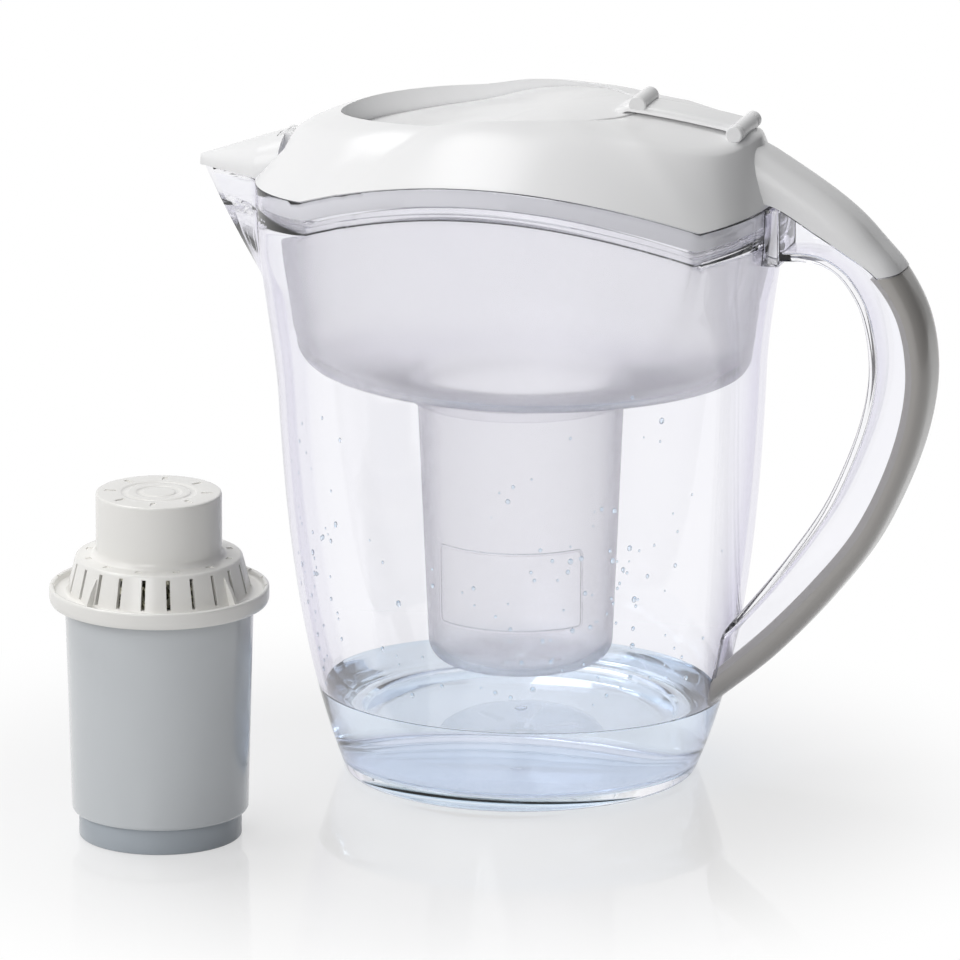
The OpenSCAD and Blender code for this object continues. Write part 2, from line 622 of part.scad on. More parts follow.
// The rounded back shared by the grip and the lid tail, t thick and w to each side.
function back(t, w) =
    [[0, -w], [t * 0.4, 0.2 - w], [t * 0.7, 2.2 - w], [t * 0.9, 5.2 - w], [t, 9 - w],
     [t, w - 9], [t * 0.9, w - 5.2], [t * 0.7, w - 2.2], [t * 0.4, w - 0.2], [0, w]];
function grip_outline(t) =
    let (r = handle_half_w - channel_wall - 0.2)
    concat(back(t, handle_half_w), [[0, r], [-3, r], [-3, -r], [0, -r]]);
function tail_outline(t) = concat(back(t, handle_half_w), reversed(back(t - tail_wall, handle_half_w - tail_wall)));
// Thickness of the grip, from the joint with the lid tail (0) to its foot (1).
function grip_at(s) = grip_t + 2 * pow(max(0, 1 - s / 0.3), 2) + 6 * pow(max(0, (s - 0.45) / 0.55), 1.8);
tail_wall = 2.2;
module handle_frame() {
    color(clear_plastic)
    difference() {
        sweep([for (i = [36:-1:0]) let (u = mix(0.06, 1, i / 36)) section(u, channel_outline(u))]);
        translate([handle_root_x - 50, -30, 190]) cube([50, 60, 60]);
        wall_trim();
    }
}
module handle_grip() {
    color(grip_grey)
    difference() {
        skin([for (i = [26:-1:0]) let (u = mix(joint_u, 1, i / 26)) section(u, grip_outline(grip_at(i / 26)))]);
        wall_trim();
    }
}
tail_gap = 0.4;
module lid_block() {
    skin(concat(
        [lid_edge(-3, 0), lid_edge(0, 0)],
        [for (s = [0.2, 0.45, 0.7, 0.88, 1, 1.15, 1.4, 1.7]) lid_top(s)]
    ));
}
module lid_tail() {
    color(white_plastic)
    difference() {
        sweep([
            for (i = [0:14])
            let (u = mix(0.02, joint_u - 0.003, i / 14), t = mix(tail_root_t, grip_at(0), u / joint_u))
            [for (p = tail_outline(t)) handle_pt(u, p[0] + tail_gap, p[1])]
        ]);
        lid_block();
    }
}

// ---- cartridge: stands on the table in front of the spout, as large as the seat takes ----
module at_cartridge() {
    translate([cartridge_x, cartridge_y, 0]) children();
}
module turned(points) {
    rotate_extrude($fn = 96) polygon(points);
}
foot_ring_r = foot_ring_d / 2;
flange_r = flange_d / 2;
knob_r = knob_d / 2;
lip_h = 5.2;
housing_top_h = flange_h;
collar_low_r = flange_r - 7;
collar_high_r = knob_r + 5.5;
collar_low_h = flange_h + 3;
collar_high_h = flange_h + 17;
screen_h = 2;
bed_low_h = foot_ring_h + 4;
bed_high_h = flange_h - 1;
divider_h = mix(bed_low_h, bed_high_h, 0.55);
function housing_r(z) = mix(housing_bottom_r, housing_top_r, (z - foot_ring_h) / (housing_top_h - foot_ring_h));
function bed_r(z) = housing_r(z) - shell_t - 0.15;

module cartridge_housing() {
    color(housing_grey)
    at_cartridge() turned([
        [foot_ring_r - 6, foot_ring_h], [housing_bottom_r - 1.5, foot_ring_h], [housing_bottom_r, foot_ring_h + 1.5],
        [housing_top_r, housing_top_h], [housing_top_r - shell_t, housing_top_h],
        [housing_bottom_r - shell_t, foot_ring_h + shell_t], [foot_ring_r - 6, foot_ring_h + shell_t]
    ]);
}
module cartridge_foot() {
    grille_r = foot_ring_r - 6.2;
    color([0.55, 0.59, 0.62])
    at_cartridge() difference() {
        turned([
            [0, foot_ring_h - 0.2], [0, foot_ring_h + shell_t], [grille_r, foot_ring_h + shell_t],
            [grille_r, foot_ring_h], [foot_ring_r, foot_ring_h], [foot_ring_r, 1.2], [foot_ring_r - 1.2, 0],
            [foot_ring_r - 3.4, 0], [foot_ring_r - 3.4, foot_ring_h - 1.6], [3, foot_ring_h - 1.6]
        ]);
        for (i = [0:11])
            rotate([0, 0, i * 30]) translate([9, -1.2, foot_ring_h - 4]) cube([11, 2.4, shell_t + 8]);
    }
}
module cartridge_cap() {
    color([0.93, 0.92, 0.89])
    at_cartridge() difference() {
        turned([
            [housing_top_r + 0.2, flange_h - 2.6], [housing_top_r + 1.6, flange_h - 2.6], [housing_top_r + 1.6, flange_h],
            [flange_r - 1.6, flange_h], [flange_r, flange_h + 1.6], [flange_r, flange_h + lip_h],
            [flange_r - 1.8, flange_h + lip_h], [flange_r - 2.2, collar_low_h], [collar_low_r, collar_low_h],
            [collar_high_r, collar_high_h], [knob_r, collar_high_h + 1.2], [knob_r, cartridge_h - 3],
            [knob_r - 0.9, cartridge_h - 0.9], [knob_r - 3, cartridge_h], [0, cartridge_h],
            [0, cartridge_h - shell_t], [knob_r - 3, cartridge_h - shell_t],
            [knob_r - shell_t, cartridge_h - 3.6], [knob_r - shell_t, collar_high_h - 0.8],
            [collar_high_r - 1.4, collar_high_h - shell_t], [collar_low_r - 2.2, collar_low_h - 0.6],
            [collar_low_r - 2.2, flange_h], [housing_top_r + 0.2, flange_h]
        ]);
        for (i = [0:slot_count - 1])
            rotate([0, 0, i * 360 / slot_count])
                translate([collar_high_r - 3, -0.8, collar_low_h + 1.6]) cube([12, 1.6, 9.6]);
        for (i = [0:7])
            rotate([0, 0, i * 45 + 10]) translate([knob_r * 0.52, -1, cartridge_h - 0.5]) cube([5, 2, 1]);
    }
}
module cartridge_seal() {
    color([0.80, 0.80, 0.78])
    at_cartridge() turned([
        [housing_top_r + 1.7, flange_h - 1.4], [housing_top_r + 3.2, flange_h - 1.4],
        [housing_top_r + 3.2, flange_h], [housing_top_r + 1.7, flange_h]
    ]);
}
module disc_fill(z0, z1) {
    turned([[0, z0], [bed_r(z0), z0], [bed_r(z1), z1], [0, z1]]);
}
module outlet_screen() {
    color("white") at_cartridge() disc_fill(foot_ring_h + shell_t + 0.2, bed_low_h);
}
module carbon_bed() {
    color([0.12, 0.12, 0.12]) at_cartridge() disc_fill(bed_low_h, divider_h);
}
module bed_divider() {
    color("white") at_cartridge() disc_fill(divider_h, divider_h + screen_h);
}
module mineral_bed() {
    color([0.62, 0.66, 0.52])
    at_cartridge() {
        turned([
            [0, divider_h + screen_h], [bed_r(divider_h + screen_h), divider_h + screen_h],
            [bed_r(flange_h - 0.3), flange_h - 0.3], [collar_low_r - 2.5, flange_h - 0.3],
            [collar_low_r - 2.6, flange_h + 1.2],
            [collar_high_r - 3.4, collar_high_h - 4.4], [0, collar_high_h - 4.4]
        ]);
    }
}
module inlet_screen() {
    color("white")
    at_cartridge() turned([
        [0, collar_high_h - 4.4], [collar_high_r - 3.4, collar_high_h - 4.4],
        [collar_high_r - 4.4, collar_high_h - 2.8], [0, collar_high_h - 2.8]
    ]);
}

jug();
handle_frame();
handle_grip();
hopper();
filter_sleeve();
lid();
lid_tail();
door_pin();
fill_door();
spout_flap();
flap_pin();
cartridge_housing();
cartridge_foot();
cartridge_cap();
cartridge_seal();
inlet_screen();
mineral_bed();
bed_divider();
carbon_bed();
outlet_screen();
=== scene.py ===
import math
import random

import bmesh
import bpy
import numpy as np
from mathutils import Matrix, Vector


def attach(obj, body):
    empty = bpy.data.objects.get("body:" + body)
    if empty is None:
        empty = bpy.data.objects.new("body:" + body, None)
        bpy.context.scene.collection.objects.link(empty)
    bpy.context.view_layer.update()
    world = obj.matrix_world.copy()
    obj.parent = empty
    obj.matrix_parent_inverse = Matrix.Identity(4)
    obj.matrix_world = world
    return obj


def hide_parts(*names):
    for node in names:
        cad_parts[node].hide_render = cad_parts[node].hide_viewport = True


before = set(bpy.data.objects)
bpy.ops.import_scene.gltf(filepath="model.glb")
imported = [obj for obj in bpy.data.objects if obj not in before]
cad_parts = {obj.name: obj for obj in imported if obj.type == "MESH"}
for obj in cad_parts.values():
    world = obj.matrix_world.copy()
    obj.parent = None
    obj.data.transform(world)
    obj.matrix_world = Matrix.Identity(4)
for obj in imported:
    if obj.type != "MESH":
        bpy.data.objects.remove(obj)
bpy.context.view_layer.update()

# ---------------------------------------------------------------- camera
# The pitcher is looked at from far off with a long lens, turned a little towards the handle
# and slightly from above. The aim lies a little to the left of the pitcher's axis.
yaw_degrees, drop_degrees = 17.5, 15.5
camera_yaw, camera_drop = math.radians(yaw_degrees), math.radians(drop_degrees)
camera_side = math.radians(yaw_degrees - 90)
camera_distance, sensor_width = 6.0, 36.0
pixels_a_metre, image_width = 2650.0, 960.0
aim_h, aim_left = 0.111, 41 / pixels_a_metre
look = Vector((
    -math.sin(camera_yaw) * math.cos(camera_drop),
    math.cos(camera_yaw) * math.cos(camera_drop),
    -math.sin(camera_drop),
))
aim = Vector((0, 0, aim_h)) - aim_left * Vector((math.cos(camera_yaw), math.sin(camera_yaw), 0))
camera_data = bpy.data.cameras.new("camera")
camera_data.sensor_width = sensor_width
camera_data.lens = sensor_width * pixels_a_metre * camera_distance / image_width
camera_data.clip_start, camera_data.clip_end = 1.0, 60.0
camera = bpy.data.objects.new("camera", camera_data)
camera.location = aim - camera_distance * look
camera.rotation_mode = "QUATERNION"
camera.rotation_quaternion = look.to_track_quat("-Z", "Y")
bpy.context.scene.collection.objects.link(camera)
bpy.context.scene.camera = camera
bpy.context.scene.view_settings.view_transform = "Standard"

# Clear plastic needs light paths that cross several walls.
cycles = bpy.context.scene.cycles
cycles.use_denoising = True
cycles.max_bounces = 20
cycles.transmission_bounces = 20
cycles.glossy_bounces = 8
cycles.diffuse_bounces = 4
cycles.transparent_max_bounces = 32
cycles.sample_clamp_indirect = 6.0
cycles.caustics_reflective = False
cycles.caustics_refractive = False


# ---------------------------------------------------------------- studio
# A white table top with a soft gloss, and large soft lamps round it. The background is
# plain white, and glass and gloss show the same white.
class Value:
    """A shader socket. Sums and products of values add Math nodes to their tree."""

    def __init__(self, tree, socket=None):
        self.tree = tree
        self.socket = socket

    def node(self, kind, settings=None, inputs=None, output=0):
        """Adds a node of that kind: its settings first, then what its sockets are given."""
        made = self.tree.nodes.new(kind)
        for name, setting in (settings or {}).items():
            if name == "stops":
                while len(made.color_ramp.elements) < len(setting):
                    made.color_ramp.elements.new(0.5)
                for stop, (place, colour) in zip(made.color_ramp.elements, setting):
                    stop.position, stop.color = place, (*colour, 1)
            else:
                setattr(made, name, setting)
        for name, given in (inputs or {}).items():
            if isinstance(given, Value):
                self.tree.links.new(given.socket, made.inputs[name])
            elif made.inputs[name].type == "RGBA":
                made.inputs[name].default_value = (*given, 1)
            else:
                made.inputs[name].default_value = given
        return Value(self.tree, made.outputs[output] if made.outputs else None)

    def maths(self, operation, *terms):
        return self.node("ShaderNodeMath", {"operation": operation}, dict(enumerate(terms)))

    def __add__(self, other):
        return self.maths("ADD", self, other)

    def __sub__(self, other):
        return self.maths("SUBTRACT", self, other)

    def __rsub__(self, other):
        return self.maths("SUBTRACT", other, self)

    def __mul__(self, other):
        return self.maths("MULTIPLY", self, other)

    __radd__ = __add__
    __rmul__ = __mul__

    def eased(self, low, high):
        """0 where this value is below low and 1 above high, with a soft change between."""
        ends = {"Value": self, "From Min": low, "From Max": high}
        return self.node("ShaderNodeMapRange", {"interpolation_type": "SMOOTHSTEP"}, ends)

    def blend(self, first, second):
        """The mix of two colours by this value."""
        return self.node("ShaderNodeMix", {"data_type": "RGBA"}, {0: self, 6: first, 7: second}, output=2)


def fresh_tree(owner):
    owner.use_nodes = True
    owner.node_tree.nodes.clear()
    return Value(owner.node_tree)


def rays(tree, *kinds):
    """1 for rays of these kinds, and 0 for all others."""
    path = tree.node("ShaderNodeLightPath").socket.node
    found = 0.0
    for kind in kinds:
        found = found + Value(tree.tree, path.outputs[f"Is {kind} Ray"])
    return found.maths("MINIMUM", found, 1.0)


world = bpy.data.worlds.new("studio")
bpy.context.scene.world = world
sky = fresh_tree(world)
backdrop = sky.node("ShaderNodeBackground", inputs={"Color": (1.0, 1.0, 1.0), "Strength": 1.0})
sky_light = sky.node("ShaderNodeBackground", inputs={"Color": (0.97, 0.98, 1.0), "Strength": 0.13})
sky.node("ShaderNodeOutputWorld", inputs={"Surface": sky.node("ShaderNodeMixShader", inputs={
    0: rays(sky, "Camera", "Glossy", "Transmission"), 1: sky_light, 2: backdrop
})})

# Round the middle of the things that stand on it the table is part its own colour, which
# takes their shadows, and further off it turns to plain white.
table_half, table_drop = 15, 0.0002
table_middle, white_from, white_at, white_near = (-0.02, -0.06, 0), 0.11, 0.26, 0.55
table_material = bpy.data.materials.new("table_top")
table = fresh_tree(table_material)
from_middle = table.node("ShaderNodeVectorMath", {"operation": "DISTANCE"}, {
    0: table.node("ShaderNodeTexCoord", output=3), 1: table_middle
}, output=1)
gloss = table.node("ShaderNodeBsdfPrincipled", inputs={
    "Base Color": (0.84, 0.84, 0.845), "Roughness": 0.05, "Specular IOR Level": 0.7
})
white = table.node("ShaderNodeEmission", inputs={"Color": (1.0, 1.0, 1.0), "Strength": 1.0})
whiteness = white_near + (1 - white_near) * from_middle.eased(white_from, white_at)
table.node("ShaderNodeOutputMaterial", inputs={"Surface": table.node("ShaderNodeMixShader", inputs={
    0: whiteness * rays(table, "Camera", "Glossy", "Transmission"), 1: gloss, 2: white
})})
table_mesh = bpy.data.meshes.new("table_top")
table_mesh.from_pydata(
    [(x * table_half, y * table_half, 0) for x, y in ((-1, -1), (1, -1), (1, 1), (-1, 1))], [], [(0, 1, 2, 3)]
)
table_mesh.materials.append(table_material)
table_top = bpy.data.objects.new("table_top", table_mesh)
table_top.location = (0, 0, -table_drop)
bpy.context.scene.collection.objects.link(table_top)

lamp_aim = Vector((0, 0, 0.12))
for name, place, size, power, colour in (
    ("lamp_left", (-1.7, -1.5, 1.7), 1.6, 20, (1.0, 0.995, 0.99)),
    ("lamp_front", (-0.3, -2.6, 1.3), 1.4, 20.5, (1.0, 1.0, 1.0)),
    ("lamp_top", (-0.9, 0.3, 2.2), 1.5, 26, (1.0, 1.0, 1.0)),
):
    lamp_data = bpy.data.lights.new(name, "AREA")
    lamp_data.shape = "DISK"
    lamp_data.size, lamp_data.energy, lamp_data.color = size, power, colour
    lamp = bpy.data.objects.new(name, lamp_data)
    lamp.location = place
    lamp.rotation_euler = (lamp_aim - Vector(place)).to_track_quat("-Z", "Y").to_euler()
    bpy.context.scene.collection.objects.link(lamp)

# A grey card to the right, out of view, that the glossy white plastic reflects.
card_material = bpy.data.materials.new("card_grey")
card_tree = fresh_tree(card_material)
card_tree.node("ShaderNodeOutputMaterial", inputs={
    "Surface": card_tree.node("ShaderNodeEmission", inputs={"Color": (0.16, 0.155, 0.15), "Strength": 1.0})
})
card_mesh = bpy.data.meshes.new("card_right")
card_mesh.from_pydata(
    [(1.1, -0.7, 0.0), (0.8, 1.6, 0.0), (0.8, 1.6, 1.1), (1.1, -0.7, 1.1)], [], [(0, 1, 2, 3)]
)
card_mesh.materials.append(card_material)
card = bpy.data.objects.new("card_right", card_mesh)
bpy.context.scene.collection.objects.link(card)
for flag in ("visible_camera", "visible_diffuse", "visible_transmission", "visible_shadow"):
    setattr(card, flag, False)


# ---------------------------------------------------------------- jug
# The clear jug, moulded in one shot of hard clear plastic with a faint violet tint. A round
# foot turns into a rim of four arcs that meet at soft corners, with a pointed spout.
foot_r, end_swell, side_swell, swell_h = 66.5, 31.0, 2.6, 68.0
corner_spout_x, corner_handle_x, corner_y = 70.0, 87.0, 55.0
side_bulge, spout_bulge, handle_bulge = 18.0, 32.0, 13.0
corner_h, side_arch, spout_dip = 227.0, 15.0, 3.0
jug_wall, jug_floor = 2.6, 4.4
socket_depth, socket_wall, ledge_w = 12.5, 1.8, 1.8
spout_reach, spout_start_h, spout_half_a = 23.0, 175.0, 8.0
handle_square_h, spout_square_h = 160.0, 140.0
corner_round, corner_reach = 0.4, 12
foot_curve = ((0.9, 22), (0.9, 8.5), (0.3, 7.2), (0, 6.4), (0, 1.2), (0.15, 0.5), (0.5, 0.12), (1.2, 0.02))
floor_curve = ((2.6, 0.1), (1.7, 0.4), (1, 0.9), (0.45, 1.6), (0.1, 2.6), (0, 3.8))

rim_mid_x, rim_half_x = (corner_handle_x - corner_spout_x) / 2, (corner_handle_x + corner_spout_x) / 2
handle_corner = math.degrees(math.atan2(corner_y, corner_handle_x))
spout_corner = math.degrees(math.atan2(corner_y, -corner_spout_x))


def sag_radius(half, sag):
    return (half * half + sag * sag) / (2 * sag)


def folded(a):
    """The angle a in degrees, folded to the near side: 0 at the handle and 180 at the spout."""
    return np.degrees(np.arccos(np.clip(np.cos(np.radians(a)), -1, 1)))


def arc(turn, x, y, radius):
    """How far out an arc of that middle and radius lies, in the direction of turn."""
    along = x * np.cos(turn) + y * np.sin(turn)
    return along + np.sqrt(np.maximum(along**2 - x * x - y * y + radius**2, 0))


def soft_lower(first, second, ease):
    """The lower of the two, eased where they cross."""
    low = np.minimum(first, second)
    return low - ease * np.log(np.exp((low - first) / ease) + np.exp((low - second) / ease))


def rim_radius(a):
    """The rim's distance from the axis at angle a, in degrees."""
    turn, fold = np.radians(np.asarray(a, float)), folded(a)
    side_r = sag_radius(rim_half_x, side_bulge)
    spout_r, handle_r = sag_radius(corner_y, spout_bulge), sag_radius(corner_y, handle_bulge)
    side = arc(np.radians(fold), rim_mid_x, corner_y + side_bulge - side_r, side_r)
    end = np.where(
        fold < 90, arc(turn, corner_handle_x + handle_bulge - handle_r, 0, handle_r),
        arc(turn, spout_r - corner_spout_x - spout_bulge, 0, spout_r),
    )
    plain = np.where((fold >= handle_corner) & (fold <= spout_corner), side, end)
    near = np.minimum(abs(fold - handle_corner), abs(fold - spout_corner)) < corner_reach
    return np.where(near, soft_lower(side, end, corner_round), plain)


def rim_height(a):
    """The rim's height at angle a: an arch on the long sides, level or a little lower at the ends."""
    turn, fold = np.radians(np.asarray(a, float)), folded(a)
    x, y = rim_radius(a) * np.cos(turn), rim_radius(a) * np.sin(turn)
    side = corner_h + side_arch * np.maximum(0, 1 - ((x - rim_mid_x) / rim_half_x) ** 2)
    spout = corner_h - spout_dip * np.maximum(0, 1 - (y / corner_y) ** 2)
    end = np.where(fold < 90, corner_h, spout)
    return np.where((fold >= handle_corner) & (fold <= spout_corner), side, end)


def smooth(t):
    t = np.clip(t, 0, 1)
    return t * t * (3 - 2 * t)


def wall_radius(a, z):
    """The jug's outer wall at angle a and height z: a swelling oval that turns into the rim."""
    turn = np.radians(np.asarray(a, float))
    swell = 1 - np.exp(-np.asarray(z, float) / swell_h)
    long_r, short_r = foot_r + end_swell * swell, foot_r + side_swell * swell
    oval = 1 / np.sqrt((np.cos(turn) / long_r) ** 2 + (np.sin(turn) / short_r) ** 2)
    start = handle_square_h + (spout_square_h - handle_square_h) * (1 - np.cos(turn)) / 2
    return oval + (rim_radius(a) - oval) * smooth((z - start) / (rim_height(a) - start))


def out(a, radius, z):
    """Points at angle a, that far from the axis, at height z."""
    turn, z = np.radians(a), np.broadcast_to(z, np.shape(a))
    return np.stack([radius * np.cos(turn), radius * np.sin(turn), z], axis=-1)


def jug_points(a, z, inset):
    """The jug's wall with its pointed spout, that far in from the outside."""
    a = np.asarray(a, float)
    z = np.broadcast_to(z, a.shape)
    plain = out(a, wall_radius(a, z) - inset, z)
    tip_share = 1 - abs(180 - a) / spout_half_a
    root = np.where(a < 180, 180 - spout_half_a, 180 + spout_half_a)
    grown = np.clip((z - spout_start_h) / (rim_height(180) - spout_start_h), 0, 1)
    tip = np.zeros_like(plain)
    tip[:, 0] = -wall_radius(180, z) - spout_reach * grown + inset * (1 + 0.9 * grown)
    tip[:, 2] = z
    spout = out(root, wall_radius(root, z) - inset, z)
    share = np.clip(tip_share, 0, 1)[:, None]
    return np.where(share > 0, spout + (tip - spout) * share, plain)


def round_angles(ends, sides, roots, spout):
    """Angles round the rim, in steps that fall on its corners and on the spout's root."""
    half = np.concatenate([
        np.linspace(0, handle_corner, ends, endpoint=False),
        np.linspace(handle_corner, spout_corner, sides, endpoint=False),
        np.linspace(spout_corner, 180 - spout_half_a, roots, endpoint=False),
        np.linspace(180 - spout_half_a, 180, spout + 1),
    ])
    return np.concatenate([half, 360 - half[-2:0:-1]])


angles = round_angles(ends=14, sides=60, roots=16, spout=7)


def jug_level(t, inset):
    """A level of the wall, flat below and following the arched rim above."""
    rise = np.maximum(0, (t - 0.45) / 0.55) * (rim_height(angles) - corner_h)
    return jug_points(angles, t * corner_h + rise, inset)


def below_rim(drop, inset):
    return jug_points(angles, rim_height(angles) - drop, inset)


def skin(rings, looped=False):
    """Corners and faces of a surface over rings. The ends are closed, or joined if looped."""
    rings = [np.asarray(ring, float) for ring in rings]
    n, m = len(rings[0]), len(rings)
    points = np.concatenate(rings)
    faces = [
        (i * n + j, (i + 1) % m * n + j, (i + 1) % m * n + (j + 1) % n, i * n + (j + 1) % n)
        for i in range(m if looped else m - 1) for j in range(n)
    ]
    if not looped:
        points = np.concatenate([points, [rings[0].mean(0)], [rings[-1].mean(0)]])
        last = (m - 1) * n
        faces += [(n * m, j, (j + 1) % n) for j in range(n)]
        faces += [(n * m + 1, last + (j + 1) % n, last + j) for j in range(n)]
    return points, faces


def mesh_piece(name, points, faces, material, crease=40):
    """A piece in millimetres made of those faces, smooth but for edges sharper than crease."""
    mesh = bpy.data.meshes.new(name)
    mesh.from_pydata((np.asarray(points) * 0.001).tolist(), [], faces)
    work = bmesh.new()
    work.from_mesh(mesh)
    bmesh.ops.remove_doubles(work, verts=work.verts, dist=2e-6)
    bmesh.ops.dissolve_degenerate(work, edges=work.edges, dist=1e-6)
    bmesh.ops.recalc_face_normals(work, faces=work.faces)
    work.to_mesh(mesh)
    work.free()
    mesh.shade_smooth()
    mesh.set_sharp_from_angle(angle=math.radians(crease))
    mesh.materials.append(material)
    piece = bpy.data.objects.new(name, mesh)
    bpy.context.scene.collection.objects.link(piece)
    return piece


def let_light_in(tree, shader, tint, share=1.0):
    """Lets that share of the light on other things go straight through, as clear walls do."""
    through = tree.node("ShaderNodeBsdfTransparent", inputs={"Color": tint})
    return tree.node("ShaderNodeMixShader", inputs={
        0: share * rays(tree, "Shadow", "Diffuse"), 1: shader, 2: through
    })


def plastic(
    name, colour, deeper, roughness, ripple=0.00004, ripple_size=260.0, clear=0.0, edge=None, **constants
):
    """A moulded plastic: its colour clouds slightly, and its gloss and surface waver. Seen edge on,
    a clear one is painted darker: partly for the longer way light takes through its tint, and partly as painted
    shade for the dark edges that refraction gives."""
    material = bpy.data.materials.new(name)
    tree = fresh_tree(material)
    here = tree.node("ShaderNodeTexCoord", output=3)
    cloud = tree.node("ShaderNodeTexNoise", inputs={"Vector": here, "Scale": 14.0, "Detail": 3.0})
    grain = tree.node("ShaderNodeTexNoise", inputs={"Vector": here, "Scale": ripple_size, "Detail": 2.0})
    bump = tree.node("ShaderNodeBump", inputs={"Strength": 0.3, "Distance": ripple, "Height": grain})
    shown = cloud.eased(0.3, 0.7).blend(colour, deeper)
    # Painted shade: the colour turns towards the edge colour where the surface is seen edge on.
    if edge:
        edge_on_shade_mask = tree.node("ShaderNodeLayerWeight", inputs={"Blend": 0.5}, output=1)
        shown = edge_on_shade_mask.eased(0.35, 1.0).blend(shown, edge)
    shader = tree.node("ShaderNodeBsdfPrincipled", inputs={
        "Base Color": shown, "Roughness": roughness + 0.03 * grain, "Normal": bump, **constants
    })
    if clear:
        shader = let_light_in(tree, shader, colour, clear)
    tree.node("ShaderNodeOutputMaterial", inputs={"Surface": shader})
    return material


# The clear plastic's edge colour is painted shade on walls seen edge on, partly standing for the longer path
# through its tint.
clear_plastic = plastic(
    "clear_plastic", (0.965, 0.965, 0.985), (0.955, 0.955, 0.98), 0.0, ripple=0.00002, ripple_size=40.0,
    clear=1.0, edge=(0.50, 0.47, 0.64), **{"Transmission Weight": 1.0, "IOR": 1.5},
)
jug_shell = mesh_piece("jug_shell", *skin(
    [jug_points(angles, z, inset) for z, inset in foot_curve]
    + [jug_level(t, 0) for t in np.linspace(0.02, 0.985, 52)]
    + [below_rim(drop, inset) for drop, inset in (
        (0.5, 0), (0.12, 0.15), (0, 0.5), (0, socket_wall - 0.4), (0.3, socket_wall), (3, socket_wall),
        (8, socket_wall), (socket_depth - 0.3, socket_wall), (socket_depth, socket_wall + 0.3),
        (socket_depth, socket_wall + ledge_w - 0.3), (socket_depth + 0.3, socket_wall + ledge_w),
        (socket_depth + 4, jug_wall + 0.9), (socket_depth + 12, jug_wall),
    )]
    + [jug_level(t, jug_wall) for t in np.linspace(0.84, 0.07, 44)]
    + [jug_points(angles, jug_floor + z, jug_wall + inset) for z, inset in floor_curve]
), clear_plastic, crease=50)
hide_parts("jug")
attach(jug_shell, "jug_body")

# The pad on the wall that the top of the handle is bonded to, a clear block with eased edges
# that reaches a little into the wall.
handle_half_w, handle_root_x, pad_x, pad_h, root_trim = 12.5, 104.5, 90.0, 205.0, 1.2
core_heights = (2, 8, 16, 25, 35, 45, 57, 70, 85, 100, 115, 130, 145, 160, 175, 190, 200, 210, 219, corner_h)


def corners_and_faces(work):
    """The corners and faces of a worked mesh, which is freed."""
    points = [tuple(corner.co) for corner in work.verts]
    faces = [tuple(corner.index for corner in face.verts) for face in work.faces]
    work.free()
    return points, faces


def block(low, high, ease=0.0):
    """Corners and faces of a block with its edges eased."""
    work = bmesh.new()
    bmesh.ops.create_cube(work, size=1.0)
    size, middle = np.subtract(high, low), np.add(high, low) / 2
    for corner in work.verts:
        corner.co = Vector(np.array(corner.co) * size + middle)
    if ease:
        bmesh.ops.bevel(work, geom=work.edges[:], offset=ease, segments=3, affect="EDGES", profile=0.5)
    return corners_and_faces(work)


def wall_core():
    """The space inside the jug's wall, which trims the pieces that meet the wall."""
    rings = [out(angles, wall_radius(angles, z) - root_trim, z) for z in core_heights]
    return mesh_piece("wall_core", *skin(rings), None)


def carve(piece, *others, crease=40):
    """Cuts the others out of the piece, and smooths it again."""
    for other in others:
        step = piece.modifiers.new("carve", "BOOLEAN")
        step.object, step.operation, step.solver = other, "DIFFERENCE", "EXACT"
    depsgraph = bpy.context.evaluated_depsgraph_get()
    shaped = bpy.data.meshes.new_from_object(piece.evaluated_get(depsgraph))
    piece.modifiers.clear()
    piece.data = shaped
    for other in others:
        bpy.data.objects.remove(other)
    shaped.shade_smooth()
    shaped.set_sharp_from_angle(angle=math.radians(crease))


handle_pad = mesh_piece("handle_pad", *block(
    (pad_x, -handle_half_w, pad_h), (handle_root_x, handle_half_w, corner_h), 0.8
), clear_plastic)
carve(handle_pad, wall_core())
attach(handle_pad, "jug_body")

# The gate mark in the middle of the underside, where the plastic was let into the mould.
gate_turns = np.linspace(0, 2 * math.pi, 32, endpoint=False)
gate_mark = mesh_piece("gate_mark", *skin([
    [(r * math.cos(b), r * math.sin(b), z) for b in gate_turns]
    for r, z in ((2.4, 1.6), (2.4, 0.8), (1.9, 0.4), (0.9, 0.3))
]), clear_plastic)
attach(gate_mark, "jug_body")

# ---------------------------------------------------------------- water
# The filtered water that stands in the jug. It isn't part of the object. It reaches a little
# into the wall and the floor, so that no film of air shows between them.
water_level, water_overlap, water_blue = 31.0, 0.2, (0.85, 0.93, 0.985)
water_material = bpy.data.materials.new("water")
water = fresh_tree(water_material)
ripples = water.node("ShaderNodeTexNoise", inputs={
    "Vector": water.node("ShaderNodeTexCoord", output=3), "Scale": 30.0
})
water_shader = water.node("ShaderNodeBsdfPrincipled", inputs={
    "Base Color": water_blue, "Roughness": 0.0, "IOR": 1.33, "Transmission Weight": 1.0,
    "Normal": water.node("ShaderNodeBump", inputs={"Strength": 0.2, "Distance": 0.0003, "Height": ripples}),
})
water.node("ShaderNodeOutputMaterial", inputs={"Surface": let_light_in(water, water_shader, water_blue)})
water_body = mesh_piece("water_body", *skin(
    [jug_points(angles, jug_floor - water_overlap + z, jug_wall + inset - water_overlap)
     for z, inset in reversed(floor_curve)]
    + [jug_points(angles, z, jug_wall - water_overlap) for z in (10, 14, 18, 22, 26, water_level)]
    + [jug_points(angles, water_level - drop, jug_wall + inset)
       for drop, inset in ((0.5, 0.5), (0.8, 1.5), (1, 4))]
), water_material)

# Drops that cling to the inside of the wall, most of them towards the handle.
drop_count, drop_stretch = 150, (0.5, 1.0, 1.1)


